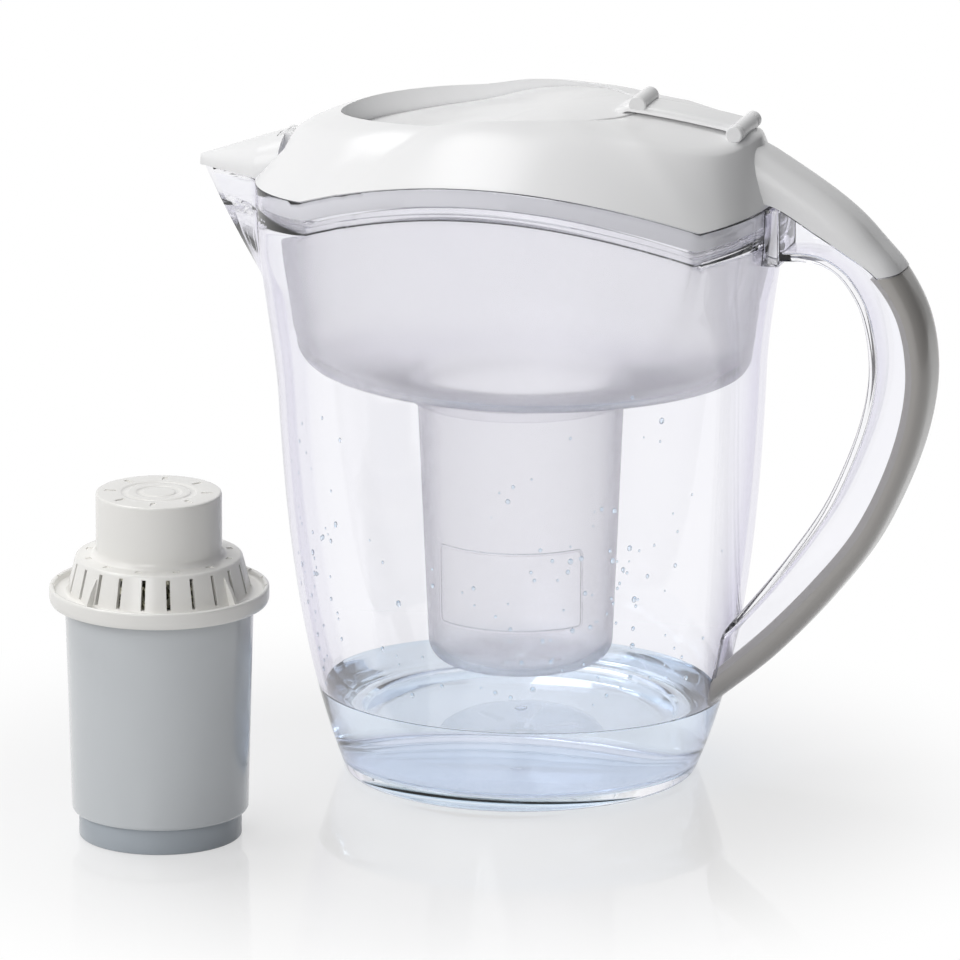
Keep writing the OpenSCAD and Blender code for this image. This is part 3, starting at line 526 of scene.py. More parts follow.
def ball(middle, radius, stretch, turn=0.0, subdivisions=1):
    """Corners and faces of a small ball, stretched along its axes and turned about the upright."""
    work = bmesh.new()
    bmesh.ops.create_icosphere(work, subdivisions=subdivisions, radius=radius)
    for corner in work.verts:
        corner.co = Matrix.Rotation(turn, 3, "Z") @ Vector(np.multiply(corner.co, stretch)) + Vector(middle)
    return corners_and_faces(work)


def joined(shapes):
    """Corners and faces of many small shapes, as one."""
    points, faces = [], []
    for some_points, some_faces in shapes:
        faces += [tuple(len(points) + i for i in face) for face in some_faces]
        points += some_points
    return points, faces


random.seed(5)
drops = []
for _ in range(drop_count):
    turn = random.choice((
        random.gauss(-38, 9), random.gauss(-62, 16), random.gauss(-150, 8), random.uniform(-160, -20)
    ))
    z = random.triangular(34, 165, 62)
    size = random.triangular(0.35, 1.3, 0.5)
    middle = jug_points(np.array([turn % 360]), z, jug_wall + 0.1)[0]
    drops.append(ball(middle, size, drop_stretch, math.radians(turn), subdivisions=2))
water_drops = mesh_piece("water_drops", *joined(drops), water_material, crease=80)

# ---------------------------------------------------------------- handle
# A clear channel, open on its outer side, that bows from the rim down to the foot. It is a
# moulding of its own, bonded to the jug at both ends.
channel_wall, outer_corner, inner_corner, handle_from = 2.8, (2.4, 0.7), (2.0, 0.6), 0.06
split_line = np.array([
    (86, 229.5), (96, 229), (104.5, 227), (117.5, 219.5), (130, 212), (142.5, 203.5), (152.5, 188),
    (156.3, 168), (154, 147), (146.5, 124), (135, 101.5), (118.5, 80.5), (100, 61), (82, 45), (66, 31)
])
floor_line = np.array([
    (88, 208), (97, 207.5), (105, 207), (113, 207.4), (121, 206.4), (128.5, 201.5), (135.5, 190),
    (139, 172), (137.7, 155), (132, 136), (122, 114), (108, 93), (94, 75), (82, 61), (70, 48)
])


def spline(points, i, t):
    """The curve through the points, at share t of the way from point i to the next."""
    last = len(points) - 1
    a, b, c, d = (points[min(last, max(0, k))] for k in (i - 1, i, i + 1, i + 2))
    return 0.5 * (2 * b + (c - a) * t + (2 * a - 5 * b + 4 * c - d) * t * t + (3 * b - a - 3 * c + d) * t**3)


def line_at(points, u):
    """The point at share u of the curve, from the rim (0) to the foot (1)."""
    i = min(len(points) - 2, int(u * (len(points) - 1)))
    return spline(points, i, u * (len(points) - 1) - i)


def handle_section(u, outline):
    """A section of the handle. Its outline runs outward from the open edge, and across."""
    edge, floor = line_at(split_line, u), line_at(floor_line, u)
    outward = (edge - floor) / np.linalg.norm(edge - floor)
    places = [(edge + outward * v, y) for v, y in outline]
    return [(at[0], y, at[1]) for at, y in places]


def strip(rings):
    """Corners and faces of a bent channel, whose ends close like the rungs of a ladder."""
    n, m = len(rings[0]), len(rings)
    points, faces = skin(rings)
    last = (m - 1) * n
    faces = faces[:(m - 1) * n]
    for j in range(n // 2 - 1):
        k = n - 1 - j
        faces += [(j, k, k - 1, j + 1), (last + j, last + j + 1, last + k - 1, last + k)]
    return points[:m * n], faces


def channel_outline(u):
    """A trough with its outer and inner corners rounded, up to its open edge."""
    depth = -np.linalg.norm(line_at(split_line, u) - line_at(floor_line, u))

    def side(v, y, ease, middle):
        return [(0, y), (v + ease, y), (v + middle, y + middle), (v, y + ease)]

    outer = side(depth, -handle_half_w, *outer_corner)
    inner = side(depth + channel_wall, channel_wall - handle_half_w, *inner_corner)
    return outer + [(v, -y) for v, y in reversed(outer)] + [(v, -y) for v, y in inner] + inner[::-1]


handle_channel = mesh_piece("handle_channel", *strip([
    handle_section(u, channel_outline(u)) for u in np.linspace(handle_from, 1, 150)
]), clear_plastic, crease=50)
carve(handle_channel, wall_core(), mesh_piece(
    "root_cut", *block((handle_root_x - 50, -30, 190), (handle_root_x, 30, 250)), None
), crease=50)
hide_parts("handle_frame")
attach(handle_channel, "jug_body")

# The grip, a satin grey moulding that snaps into the channel and closes it, from the lid's
# tail down. Its back is rounded for the palm, and it thickens towards the foot.
joint_u = 5 / 14
grip_t, grip_more_top, grip_more_foot, back_round, back_power, rail_depth, rail_play = 5.6, 2, 6, 9, 2.3, 3, 0.2
grip_grey = plastic(
    "grip_grey", (0.45, 0.432, 0.412), (0.43, 0.412, 0.392), 0.22, ripple=0.00003, **{"Coat Weight": 0.3}
)


def back(t, w, steps=9):
    """The rounded back of the handle, t thick and w to each side."""
    corner = [
        (t * (1 - (1 - e) ** back_power) ** (1 / back_power), -w + back_round * e)
        for e in (1 - np.cos(np.linspace(0, math.pi / 2, steps)))
    ]
    return corner + [(v, -y) for v, y in reversed(corner)]


def grip_thickness(share):
    """From the joint with the lid's tail (0) to the foot of the grip (1)."""
    top, foot = max(0, 1 - share / 0.3) ** 2, max(0, (share - 0.45) / 0.55) ** 1.8
    return grip_t + grip_more_top * top + grip_more_foot * foot


def grip_outline(t):
    rail = handle_half_w - channel_wall - rail_play
    return back(t, handle_half_w) + [(0, rail), (-rail_depth, rail), (-rail_depth, -rail), (0, -rail)]


grip = mesh_piece("grip", *skin([
    handle_section(joint_u + (1 - joint_u) * s, grip_outline(grip_thickness(s))) for s in np.linspace(0, 1, 110)
]), grip_grey, crease=50)
carve(grip, wall_core(), crease=50)
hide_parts("handle_grip")
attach(grip, "jug_body")

# ---------------------------------------------------------------- hopper
# The frosted hopper holds the tap water over the filter. Its flange hangs on the ledge in the
# jug's rim, and a round seat in its floor takes the cartridge.
play, hopper_gap, spout_room, hopper_wall, seat_h, floor_slope = 0.3, 3.0, 4.0, 2.2, 153.0, 0.14
flange_t, bead_h, collar_drop, sleeve_wall, seat_bore_r, flange_r = 2.0, 2.2, 8.0, 1.8, 37.3, 41.0
flange_inset, hopper_inset, hopper_base = socket_wall + play + 0.1, jug_wall + hopper_gap, play - socket_depth
sleeve_top_r, sleeve_top_h, seat_out_r = seat_bore_r + sleeve_wall, seat_h - 4.5, flange_r + 1.6
collar_in_r, collar_out_r = sleeve_top_r + 0.1, sleeve_top_r + 3.3
side_low_h, side_high_drop, hopper_inner = seat_h + 18, 4, hopper_inset + hopper_wall
turn_in = ((9, 0), (7, 0.12), (5.4, 0.6), (4, 1.4), (2.4, 2.6), (1.2, 4.2), (0.4, 6.3), (0, 9))
# The frosted plastic's edge colour is painted shade on its sides seen edge on, partly standing for the longer
# path through it.
frosted_plastic = plastic(
    "frosted_plastic", (0.996, 0.993, 1.0), (0.99, 0.986, 0.997), 0.24, ripple=0.00001, ripple_size=150.0,
    clear=1.0, edge=(0.70, 0.67, 0.79),
    **{"Transmission Weight": 0.93, "IOR": 1.35, "Specular IOR Level": 0.3},
)


def hopper_ring(z, inset, wall_z=None, room=spout_room):
    """A ring inside the jug's wall, with more room towards the spout."""
    wider = room * np.maximum(0, -np.cos(np.radians(angles))) ** 6
    return out(angles, wall_radius(angles, z if wall_z is None else wall_z) - inset - wider, z)


def neck_ring(dz, inset, room=spout_room):
    return hopper_ring(rim_height(angles) + hopper_base + dz, inset, room=room)


def hopper_side(t, inset):
    rise = rim_height(angles) + hopper_base - side_high_drop - side_low_h
    return hopper_ring(side_low_h + t * rise, inset)


def floor_height(r):
    return seat_h + floor_slope * np.maximum(0, r - seat_out_r)


def hopper_low(dz, inset):
    return hopper_ring(floor_height(wall_radius(angles, seat_h) - inset) + dz, inset, seat_h + 8)


def round_ring(r, z):
    return out(angles, np.full(len(angles), float(r)), z)


hopper_bowl = mesh_piece("hopper_bowl", *skin(
    [neck_ring(dz, hopper_inset) for dz in (0, -2)]
    + [hopper_side(t, hopper_inset) for t in np.linspace(1, 0, 14)]
    + [hopper_low(rise - hopper_wall, hopper_inset + inset) for rise, inset in turn_in]
    + [round_ring(collar_out_r + 0.6, floor_height(collar_out_r) - hopper_wall)]
    + [round_ring(r, seat_h - z) for r, z in (
        (collar_out_r, 2.8), (collar_out_r, collar_drop - 0.5), (collar_out_r - 0.5, collar_drop),
        (collar_in_r, collar_drop), (collar_in_r, seat_h - sleeve_top_h), (seat_bore_r, seat_h - sleeve_top_h),
        (seat_bore_r, 0.6), (seat_bore_r + 0.6, 0), (seat_out_r, 0)
    )]
    + [hopper_low(rise, hopper_inner + inset) for rise, inset in reversed(turn_in)]
    + [hopper_side(t, hopper_inner) for t in np.linspace(0, 1, 14)]
    + [neck_ring(dz, hopper_inner) for dz in (-2, 1, flange_t + bead_h - 0.4)]
    + [neck_ring(flange_t + bead_h, inset) for inset in (hopper_inner - 0.4, hopper_inset - 1.1)]
    + [neck_ring(dz, hopper_inset - 1.4) for dz in (flange_t + bead_h - 0.4, flange_t + 0.3)]
    + [neck_ring(flange_t, hopper_inset - 1.7)]
    + [neck_ring(dz, flange_inset + inset, 0) for dz, inset in (
        (flange_t, 0.3), (flange_t - 0.3, 0), (0.2, 0), (0, 0.2)
    )], looped=True
), frosted_plastic, crease=50)
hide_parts("hopper")
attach(hopper_bowl, "hopper_body")

# The sleeve, a frosted tapered cup pushed up into the collar under the hopper. Filtered water
# leaves by the slots in its bottom. A plain raised frame is moulded on its front.
sleeve_bottom_h, sleeve_low_r, sleeve_round, drain_count = 42.0, 34.7, 8.0, 6


def turned(profile, count=128, middle=(0, 0), ease=0.5):
    """Corners and faces of a solid turned from a closed outline of (radius, height), whose corners
    off the axis are eased."""
    points, outline = np.asarray(profile, float), []
    for i, here in enumerate(points):
        if ease == 0 or here[0] == 0:
            outline.append(here)
            continue
        ways = [points[i - 1] - here, points[(i + 1) % len(points)] - here]
        start, end = (here + way * min(ease / np.linalg.norm(way), 0.45) for way in ways)
        outline += [(1 - t) ** 2 * start + 2 * t * (1 - t) * here + t * t * end for t in np.linspace(0, 1, 4)]
    turn = np.linspace(0, 2 * math.pi, count, endpoint=False)
    return skin([
        np.stack([middle[0] + r * np.cos(turn), middle[1] + r * np.sin(turn), np.full(count, z)], axis=-1)
        for r, z in outline
    ], looped=True)


def cup_side(inset, bottom, steps=10):
    """One side of the sleeve's wall, from the axis out and up to its top edge."""
    low, high, curve = sleeve_low_r - inset, sleeve_top_r - inset, np.linspace(0, math.pi / 2, steps)
    base, top = bottom + sleeve_round, seat_h - collar_drop
    return (
        [(0, bottom), (low - sleeve_round - 10, bottom)]
        + [(low - sleeve_round * (1 - math.sin(b)), base - sleeve_round * math.cos(b)) for b in curve]
        + [(low + (high - 0.4 - low) * t, base + (top - 1 - base) * t) for t in (0.25, 0.5, 0.75, 1)]
        + [(high, top + 0.6), (high, sleeve_top_h)]
    )


def ring_of_cuts(count, low, high, first=0.0, middle=(0, 0)):
    """Blocks set evenly round the middle, to be cut out of a round piece."""
    points, faces = block(low, high)
    cuts = []
    for i in range(count):
        spin = Matrix.Rotation(first + 2 * math.pi * i / count, 3, "Z")
        moved = [tuple(spin @ Vector(point) + Vector((*middle, 0))) for point in points]
        cuts.append(mesh_piece("cut", moved, faces, None))
    return cuts


sleeve_cup = mesh_piece("sleeve_cup", *turned(
    cup_side(0, sleeve_bottom_h) + cup_side(sleeve_wall, sleeve_bottom_h + sleeve_wall)[::-1], ease=0
), frosted_plastic)
drain_hole = mesh_piece("drain_hole", *turned([(0, 40), (5, 40), (5, 46), (0, 46)], 48, ease=0), None)
carve(sleeve_cup, *ring_of_cuts(
    drain_count, (10, -1.5, sleeve_bottom_h - 1), (22, 1.5, sleeve_bottom_h + 3), math.pi / drain_count
), drain_hole)
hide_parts("filter_sleeve")
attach(sleeve_cup, "hopper_body")


def sleeve_radius(z):
    low = sleeve_bottom_h + sleeve_round
    return sleeve_low_r + (sleeve_top_r - 0.4 - sleeve_low_r) * (z - low) / (seat_h - collar_drop - 1 - low)


def frame_point(across, z):
    """A point on the front of the sleeve, that far across from the side that faces the camera."""
    turn = camera_side + across / sleeve_radius(z)
    return np.array([sleeve_radius(z) * math.cos(turn), sleeve_radius(z) * math.sin(turn), z])


def round_loop(path, radius, count=8):
    """Corners and faces of a thin round bar along a closed path of points."""
    rings = []
    for i, here in enumerate(path):
        ahead = path[(i + 1) % len(path)] - path[i - 1]
        ahead = ahead / np.linalg.norm(ahead)
        outward = np.array([here[0], here[1], 0]) / np.linalg.norm(here[:2])
        side = np.cross(ahead, outward)
        side /= np.linalg.norm(side)
        outward = np.cross(side, ahead)
        rings.append([
            here + radius * (math.cos(b) * outward + math.sin(b) * side)
            for b in np.linspace(0, 2 * math.pi, count, endpoint=False)
        ])
    return skin(rings, looped=True)


frame_half, frame_low, frame_high, frame_round, frame_shift = 30.0, 61.5, 92.0, 2.0, -5.5
frame_bar_r, frame_step = 0.55, 2
frame_path = [
    (frame_shift + sx * (frame_half - frame_round) + frame_round * math.cos(b), mz + frame_round * math.sin(b))
    for sx, mz, start in (
        (1, frame_high - frame_round, 0), (-1, frame_high - frame_round, 90),
        (-1, frame_low + frame_round, 180), (1, frame_low + frame_round, 270)
    ) for b in np.radians(np.linspace(start, start + 90, 5))
]
frame_points = []
for (x0, z0), (x1, z1) in zip(frame_path, frame_path[1:] + frame_path[:1]):
    steps = max(1, round(math.hypot(x1 - x0, z1 - z0) / frame_step))
    frame_points += [frame_point(x0 + (x1 - x0) * k / steps, z0 + (z1 - z0) * k / steps) for k in range(steps)]
sleeve_frame = mesh_piece("sleeve_frame", *round_loop(frame_points, frame_bar_r), frosted_plastic, crease=80)
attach(sleeve_frame, "hopper_body")

# ---------------------------------------------------------------- lid
# The glossy white lid, one thin moulding: a crown with a soft crease and a steep shoulder, an
# oval opening with a seat for the door, and a skirt that hangs inside the jug's rim.
crown_h, lid_wall, skirt_depth, skirt_t, crease_soft = 260.5, 2.2, 7.5, 1.8, 1.2
door_a, door_b, door_x, dish_depth, door_t, lid_ledge_w, lid_ledge_t = 58.5, 34.5, -11.0, 9.0, 2.2, 2, 1.6
crown_middle = np.array([12.0, 0.0])
crease_out = np.array([0.93, 0.85, 0.62, 0.5, 0.49, 0.51, 0.56, 0.66, 0.76, 0.83, 0.875])
crease_drop = np.array([8, 10, 6, 2, 1.5, 1.7, 3.5, 9, 13, 15, 17.5])
crown_powers = np.array([2, 2, 2, 2, 2, 2.1, 2.3, 2.6, 2.8, 2.8, 2.8])
table_angles, table_places = [0, handle_corner, spout_corner, 180 - spout_half_a, 180], [0, 2, 7.333, 9.333, 10]
skirt_inset = socket_wall + play + 0.1
white_plastic = plastic(
    "white_plastic", (0.88, 0.88, 0.88), (0.865, 0.865, 0.87), 0.19, ripple=0.00003, ripple_size=120.0,
    **{"Specular IOR Level": 0.3},
)


def eased_table(values):
    """A value for every angle, read from a table that runs from the handle end to the spout."""
    places = np.interp(folded(angles), table_angles, table_places)
    steps = np.minimum(len(values) - 2, places.astype(int))
    return np.array([spline(values, i, place - i) for i, place in zip(steps, places)])


def to_rim(inset=0.0):
    """The rim's points in plan, that far in from its edge."""
    return out(angles, rim_radius(angles) - inset, 0)[:, :2]


def crown_step(size):
    """A distance in millimetres as a share of the way from the crown's middle to the rim."""
    return size / np.linalg.norm(to_rim() - crown_middle, axis=1)


def opening():
    """Where the way from the crown's middle to the rim crosses the door opening."""
    way, off = to_rim() - crown_middle, crown_middle[0] - door_x
    qa = (way[:, 0] / door_a) ** 2 + (way[:, 1] / door_b) ** 2
    qb, qc = 2 * off * way[:, 0] / door_a**2, (off / door_a) ** 2 - 1
    return (np.sqrt(qb * qb - 4 * qa * qc) - qb) / (2 * qa)


rim_top, opens_at = rim_height(angles), opening()
crease_at = np.maximum(eased_table(crease_out), opens_at + crown_step(1.5))
crease_low, crown_power = eased_table(crease_drop), eased_table(crown_powers)


def crown_height(p):
    """The crown at share p of the way from its middle to the rim, for every angle."""
    crest = crown_h - crease_low
    upper = crown_h - crease_low * (np.maximum(p, 1e-9) / crease_at) ** crown_power
    shoulder = rim_top + (crest - rim_top) * (1 - p) / (1 - crease_at)
    return np.where(p >= 1, rim_top, soft_lower(upper, shoulder, crease_soft))


def over_crown(p, z):
    """Points at share p of the way from the crown's middle to the rim, at height z."""
    return np.column_stack([crown_middle + (to_rim() - crown_middle) * p[:, None], z])


def dish(p):
    """How far the door lies below the crown: deepest at the spout end, and gone at the hinge."""
    flat = over_crown(p, p)
    round_share = ((flat[:, 0] - door_x) / door_a) ** 2 + (flat[:, 1] / door_b) ** 2
    fade = 1 - smooth((flat[:, 0] - door_x + door_a) / (2 * door_a - 4))
    return dish_depth * fade * (1 + 0.6 * np.maximum(0, 1 - round_share))


def lid_top(s):
    """Rings over the crown: 0 at the rim, 1 at the crease, 2 at the door opening."""
    p = 1 + (crease_at - 1) * s if s < 1 else crease_at + (opens_at - crease_at) * (s - 1)
    return over_crown(p, crown_height(p) + play)


def lid_under(s):
    """Rings under the crown: 0 at the skirt, 1 under the crease, 2 at the door opening."""
    outer, inner = 1 - crown_step(skirt_inset + skirt_t), opens_at + crown_step(lid_wall)
    crease = np.maximum(inner + 0.002, crease_at - crown_step(0.6))
    p = outer + (crease - outer) * s if s < 1 else crease + (inner - crease) * (s - 1)
    z = np.minimum(crown_height(p) - lid_wall, crown_height(p + crown_step(lid_wall)))
    ring = over_crown(p, np.maximum(z, rim_top + 0.8) + play)
    shift = to_rim(skirt_inset + skirt_t) - over_crown(outer, outer)[:, :2]
    ring[:, :2] += shift * max(0, 1 - s)
    return ring


def opening_ring(outward, drop):
    p = opens_at + crown_step(outward)
    return over_crown(p, crown_height(opens_at) + play - dish(opens_at) - drop)


def lid_edge(dz, inset):
    z = rim_top + play + dz
    return out(angles, wall_radius(angles, z) - inset, z)


def cylinder(x, y, z, radius, half, count=48, ease=0.4):
    """Corners and faces of a round bar across the pitcher, with eased ends."""
    turns = np.linspace(0, 2 * math.pi, count, endpoint=False)
    profile = [(radius - ease, -half), (radius, -half + ease), (radius, half - ease), (radius - ease, half)]
    points, faces = skin([[(r * math.cos(b), across, r * math.sin(b)) for b in turns] for r, across in profile])
    return points + np.array([x, y, z]), faces


barrel_r, lug_w, lug_gap, arm_half_w, door_hinge_x, door_hinge_z = 3.2, 3.4, 0.4, 9.0, 87.0, 255.0
flap_wall, flap_half_w, flap_hinge_x, flap_slope, notch_x = 1.8, 16.8, -91.4, 0.355, -87.8


def spout_crown(x):
    """The crown along its middle line, towards the spout."""
    p = (crown_middle[0] - x) / (crown_middle[0] + rim_radius(180.0))
    at = int(np.argmin(abs(angles - 180)))
    return float(crown_height(np.full(len(angles), p))[at])


def flap_top(x):
    return spout_crown(notch_x) + flap_slope * (x - notch_x)


flap_hinge_z = flap_top(flap_hinge_x) - barrel_r / math.cos(math.atan(flap_slope)) + play
flap_lug_y, door_lug_y = 4.0, arm_half_w + lug_gap + lug_w / 2
notch_z, notch_half_w = corner_h - spout_dip + play, flap_half_w + 0.4
ledge_top, ledge_under, shoulder_steps = door_t + play, door_t + play + lid_ledge_t, np.linspace(0.02, 1, 26)

lid_crown = mesh_piece("lid_crown", *skin(
    [lid_top(s) for s in shoulder_steps] + [lid_top(s) for s in np.linspace(1.06, 1.97, 12)]
    + [opening_ring(0.0, drop) for drop in (0.4, 1.2, ledge_top)]
    + [opening_ring(-lid_ledge_w, drop) for drop in (ledge_top, ledge_under)]
    + [opening_ring(lid_wall, ledge_under)]
    + [lid_under(s) for s in (2, 1.8, 1.6, 1.4, 1.2, 1, 0.92, 0.84, 0.76, 0.6, 0.45, 0.3, 0.15, 0)]
    + [lid_edge(dz, skirt_inset + skirt_t) for dz in (-2, 0.4 - skirt_depth)]
    + [lid_edge(-skirt_depth, skirt_inset + inset) for inset in (skirt_t - 0.4, 0.4)]
    + [lid_edge(dz, skirt_inset) for dz in (0.4 - skirt_depth, -2, 0)]
    + [lid_edge(0, 0.6), lid_edge(0.1, 0.15)], looped=True
), white_plastic, crease=44)
carve(lid_crown, mesh_piece(
    "notch_cut", *block((notch_x - 60, -notch_half_w, notch_z), (notch_x, notch_half_w, notch_z + 40)), None
), crease=44)
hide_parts("lid")
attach(lid_crown, "lid_body")

# The seat and the lugs moulded on the lid, which hold the two hinge pins.
lug_more = 0.15


def lug_barrel(x, y, z, sign):
    return cylinder(x, sign * (y + lug_more), z, barrel_r, lug_w / 2 + lug_more)


def flap_lug_root(sign):
    y, half = sign * flap_lug_y, lug_w / 2
    return block((flap_hinge_x, y - half, flap_hinge_z - 2), (flap_hinge_x + 8, y + half, flap_hinge_z + 3), 0.3)


ends = (("front", -1), ("back", 1))
for name, shape in (
    ("door_seat", block(
        (door_hinge_x - 5, -door_lug_y - 1, door_hinge_z - 7),
        (door_hinge_x + 3.5, door_lug_y + 1, door_hinge_z - 3.7), 0.3,
    )),
    *((f"door_lug_{end}", lug_barrel(door_hinge_x, door_lug_y, door_hinge_z, sign)) for end, sign in ends),
    *((f"flap_lug_{end}", lug_barrel(flap_hinge_x, flap_lug_y, flap_hinge_z, sign)) for end, sign in ends),
    *((f"flap_lug_root_{end}", flap_lug_root(sign)) for end, sign in ends),
):
    lug = mesh_piece(name, *shape, white_plastic)
    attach(lug, "lid_body")

# The lid's tail, a hollow white hump over the top of the handle that ends at the grip.
tail_root_t, tail_wall, tail_gap, tail_from, tail_to = 22.0, 2.2, 0.4, 0.02, joint_u - 0.003


def tail_section(u):
    t = tail_root_t + (grip_thickness(0) - tail_root_t) * u / joint_u
    outline = back(t, handle_half_w) + back(t - tail_wall, handle_half_w - tail_wall)[::-1]
    return handle_section(u, [(v + tail_gap, y) for v, y in outline])


tail_cover = mesh_piece("tail_cover", *strip([
    tail_section(u) for u in np.linspace(tail_from, tail_to, 60)
]), white_plastic, crease=50)
carve(tail_cover, mesh_piece("lid_core", *skin(
    [lid_edge(-3, 0), lid_edge(0, 0)] + [lid_top(s) for s in shoulder_steps]
    + [lid_top(s) for s in np.linspace(1.1, 1.9, 9)]
), None), crease=50)
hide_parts("lid_tail")
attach(tail_cover, "lid_body")

# ---------------------------------------------------------------- door
# The fill door, a thin dished oval that lies in the opening. A flat arm runs back from it over
# the crown to a barrel that turns on the pin, with a round bar across it for the thumb.
door_gap, arm_start_x, arm_rise, arm_t, arm_sink, arm_climb = 0.45, door_x + door_a - 8, 0.5, 2.6, 1.76, 5.5
door_steps = (0.04, 0.12, 0.22, 0.32, 0.42, 0.52, 0.61, 0.7, 0.78, 0.85, 0.91, 0.95, 0.98)
door_edge = ((door_t, 0.3), (door_t - 0.3, 0), (0.35, 0), (0.08, 0.15), (0, 0.5))


def door_ring(q, drop, inset=0.0):
    """A ring of the dish at share q of the way out to its edge, that far below its top."""
    p = q * (opens_at - crown_step(door_gap + inset))
    return over_crown(p, crown_height(p) + play - dish(p) - drop)


door_dish = mesh_piece("door_dish", *skin(
    [door_ring(q, door_t) for q in door_steps] + [door_ring(1, drop, inset) for drop, inset in door_edge]
    + [door_ring(q, 0) for q in reversed(door_steps)]
), white_plastic, crease=60)
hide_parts("fill_door")
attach(door_dish, "door_body")


def axis_crown(x):
    """The crown along its middle line, towards the handle."""
    p = (x - crown_middle[0]) / (rim_radius(0.0) - crown_middle[0])
    return float(crown_height(np.full(len(angles), p))[0]) + play


def arm_section(x):
    """A section of the arm, which climbs from inside the dish to just over the crown."""
    w = arm_half_w
    z = axis_crown(x) - arm_sink + (arm_sink + arm_rise) * float(smooth((x - arm_start_x) / arm_climb))
    outline = [(-w, 0), (-w + 0.25, 0.9), (-w + 0.6, 1.6), (-w + 1.3, 2.2), (-w + 2.2, 2.5), (-w + 3.4, arm_t)]
    outline = outline + [(-y, rise) for y, rise in reversed(outline)]
    return [(x, y, z + rise) for y, rise in outline] + [(x, 4, z), (x, 0, z), (x, -4, z)]


door_arm = mesh_piece("door_arm", *skin([
    arm_section(x) for x in np.linspace(arm_start_x, door_hinge_x - 1.6, 50)
]), white_plastic, crease=45)
door_barrel = mesh_piece("door_barrel", *cylinder(
    door_hinge_x, 0, door_hinge_z, barrel_r, arm_half_w
), white_plastic)

# The round bar at the front of the arm, that the thumb pushes. It is moulded on the arm and
# flat underneath, a little above the arm's own underside.
thumb_bar_r, thumb_bar_x, thumb_bar_in, thumb_bar_up = 3.4, door_x + door_a + 0.5, 0.3, 0.4
arm_under = axis_crown(door_x + door_a) + arm_rise
thumb_bar_flat = arm_under + thumb_bar_up
bar_points, bar_faces = cylinder(thumb_bar_x, 0, arm_under + arm_t, thumb_bar_r, arm_half_w - thumb_bar_in)
bar_points[:, 2] = np.maximum(bar_points[:, 2], thumb_bar_flat)
thumb_bar = mesh_piece("thumb_bar", bar_points, bar_faces, white_plastic)
for part in (door_arm, door_barrel, thumb_bar):
    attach(part, "door_body")

# ---------------------------------------------------------------- flap
# The spout flap, a thin white beak over the spout. It hangs on a wire pin between the lid's
# two lugs, and the poured stream lifts it.
flap_edge_z, flap_tip_w, flap_draw, arch_power = notch_z + play + 0.1, 1.4, 1.2, 0.8
flap_tip_x = -(float(rim_radius(180.0)) + spout_reach) - 1.6
flap_bend_x = -float(rim_radius(180.0)) * math.cos(math.radians(spout_half_a))


def flap_width(x):
    """Half the flap's width: pointed over the spout, and nearly straight behind it."""
    bend_w = flap_half_w - flap_draw
    if x > flap_bend_x:
        return bend_w + flap_draw * (x - flap_bend_x) / (flap_hinge_x - flap_bend_x)
    return flap_tip_w + (bend_w - flap_tip_w) * (x - flap_tip_x) / (flap_bend_x - flap_tip_x)


def arch(x, t):
    wide, rise = max(0.35, flap_width(x) - t), max(0.6, flap_top(x) + play - t - flap_edge_z)
    return [
        (x, wide * math.cos(b), flap_edge_z + rise * max(0, math.sin(b)) ** arch_power)
        for b in np.linspace(math.pi, 0, 33)
    ]


def flap_section(share):
    """A section of the flap, from its thin tip (0) to its hinge (1)."""
    x = flap_tip_x + (flap_hinge_x - flap_tip_x) * share
    return arch(x, 0) + arch(x, min(flap_wall, 0.6 + 2 * share))[::-1]


flap_shell = mesh_piece("flap_shell", *strip([
    flap_section(share) for share in np.linspace(0, 1, 40)
]), white_plastic, crease=50)
carve(flap_shell, *[mesh_piece("lug_cut", *cylinder(
    flap_hinge_x, sign * flap_lug_y, flap_hinge_z, barrel_r + lug_gap, lug_w / 2 + lug_gap, ease=0.01
), None) for sign in (-1, 1)], crease=50)
flap_barrel = mesh_piece("flap_barrel", *cylinder(
    flap_hinge_x, 0, flap_hinge_z, barrel_r, flap_lug_y - lug_w / 2 - lug_gap
), white_plastic)
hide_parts("spout_flap")
for part in (flap_shell, flap_barrel):
    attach(part, "flap_body")

# The two hinge pins, plain steel wire with fine drawing marks along it.
pin_material = bpy.data.materials.new("pin_steel")
pin = fresh_tree(pin_material)
along = pin.node("ShaderNodeMapping", inputs={
    "Vector": pin.node("ShaderNodeTexCoord", output=3), "Scale": (900.0, 20.0, 900.0)
})
marks = pin.node("ShaderNodeTexNoise", inputs={"Vector": along, "Scale": 1.0})
pin.node("ShaderNodeOutputMaterial", inputs={"Surface": pin.node("ShaderNodeBsdfPrincipled", inputs={
    "Base Color": marks.blend((0.6, 0.6, 0.61), (0.7, 0.7, 0.71)),
    "Metallic": 1.0, "Roughness": 0.2 + 0.2 * marks,
})})

# ---------------------------------------------------------------- cartridge
# The filter cartridge stands on its foot on the table. The housing is a blue-grey tapered
# moulding with a darker foot welded in, and the cap is warm white.
cartridge = (-101.0, -128.0)
foot_ring_r, foot_ring_h, foot_ring_t, housing_top_r, housing_bottom_r = 30.4, 10.0, 3.4, 35.2, 33.0
cap_h, cartridge_h, shell_t, floor_open_r, floor_play, grille_count = 91.0, 132.0, 1.8, 24.4, 0.2, 12
housing_grey = plastic(
    "housing_grey", (0.58, 0.607, 0.627), (0.56, 0.585, 0.607), 0.17, ripple=0.00002, ripple_size=200.0,
    **{"Coat Weight": 0.5},
)
foot_grey = plastic("foot_grey", (0.42, 0.46, 0.50), (0.40, 0.44, 0.48), 0.22, ripple_size=500.0)

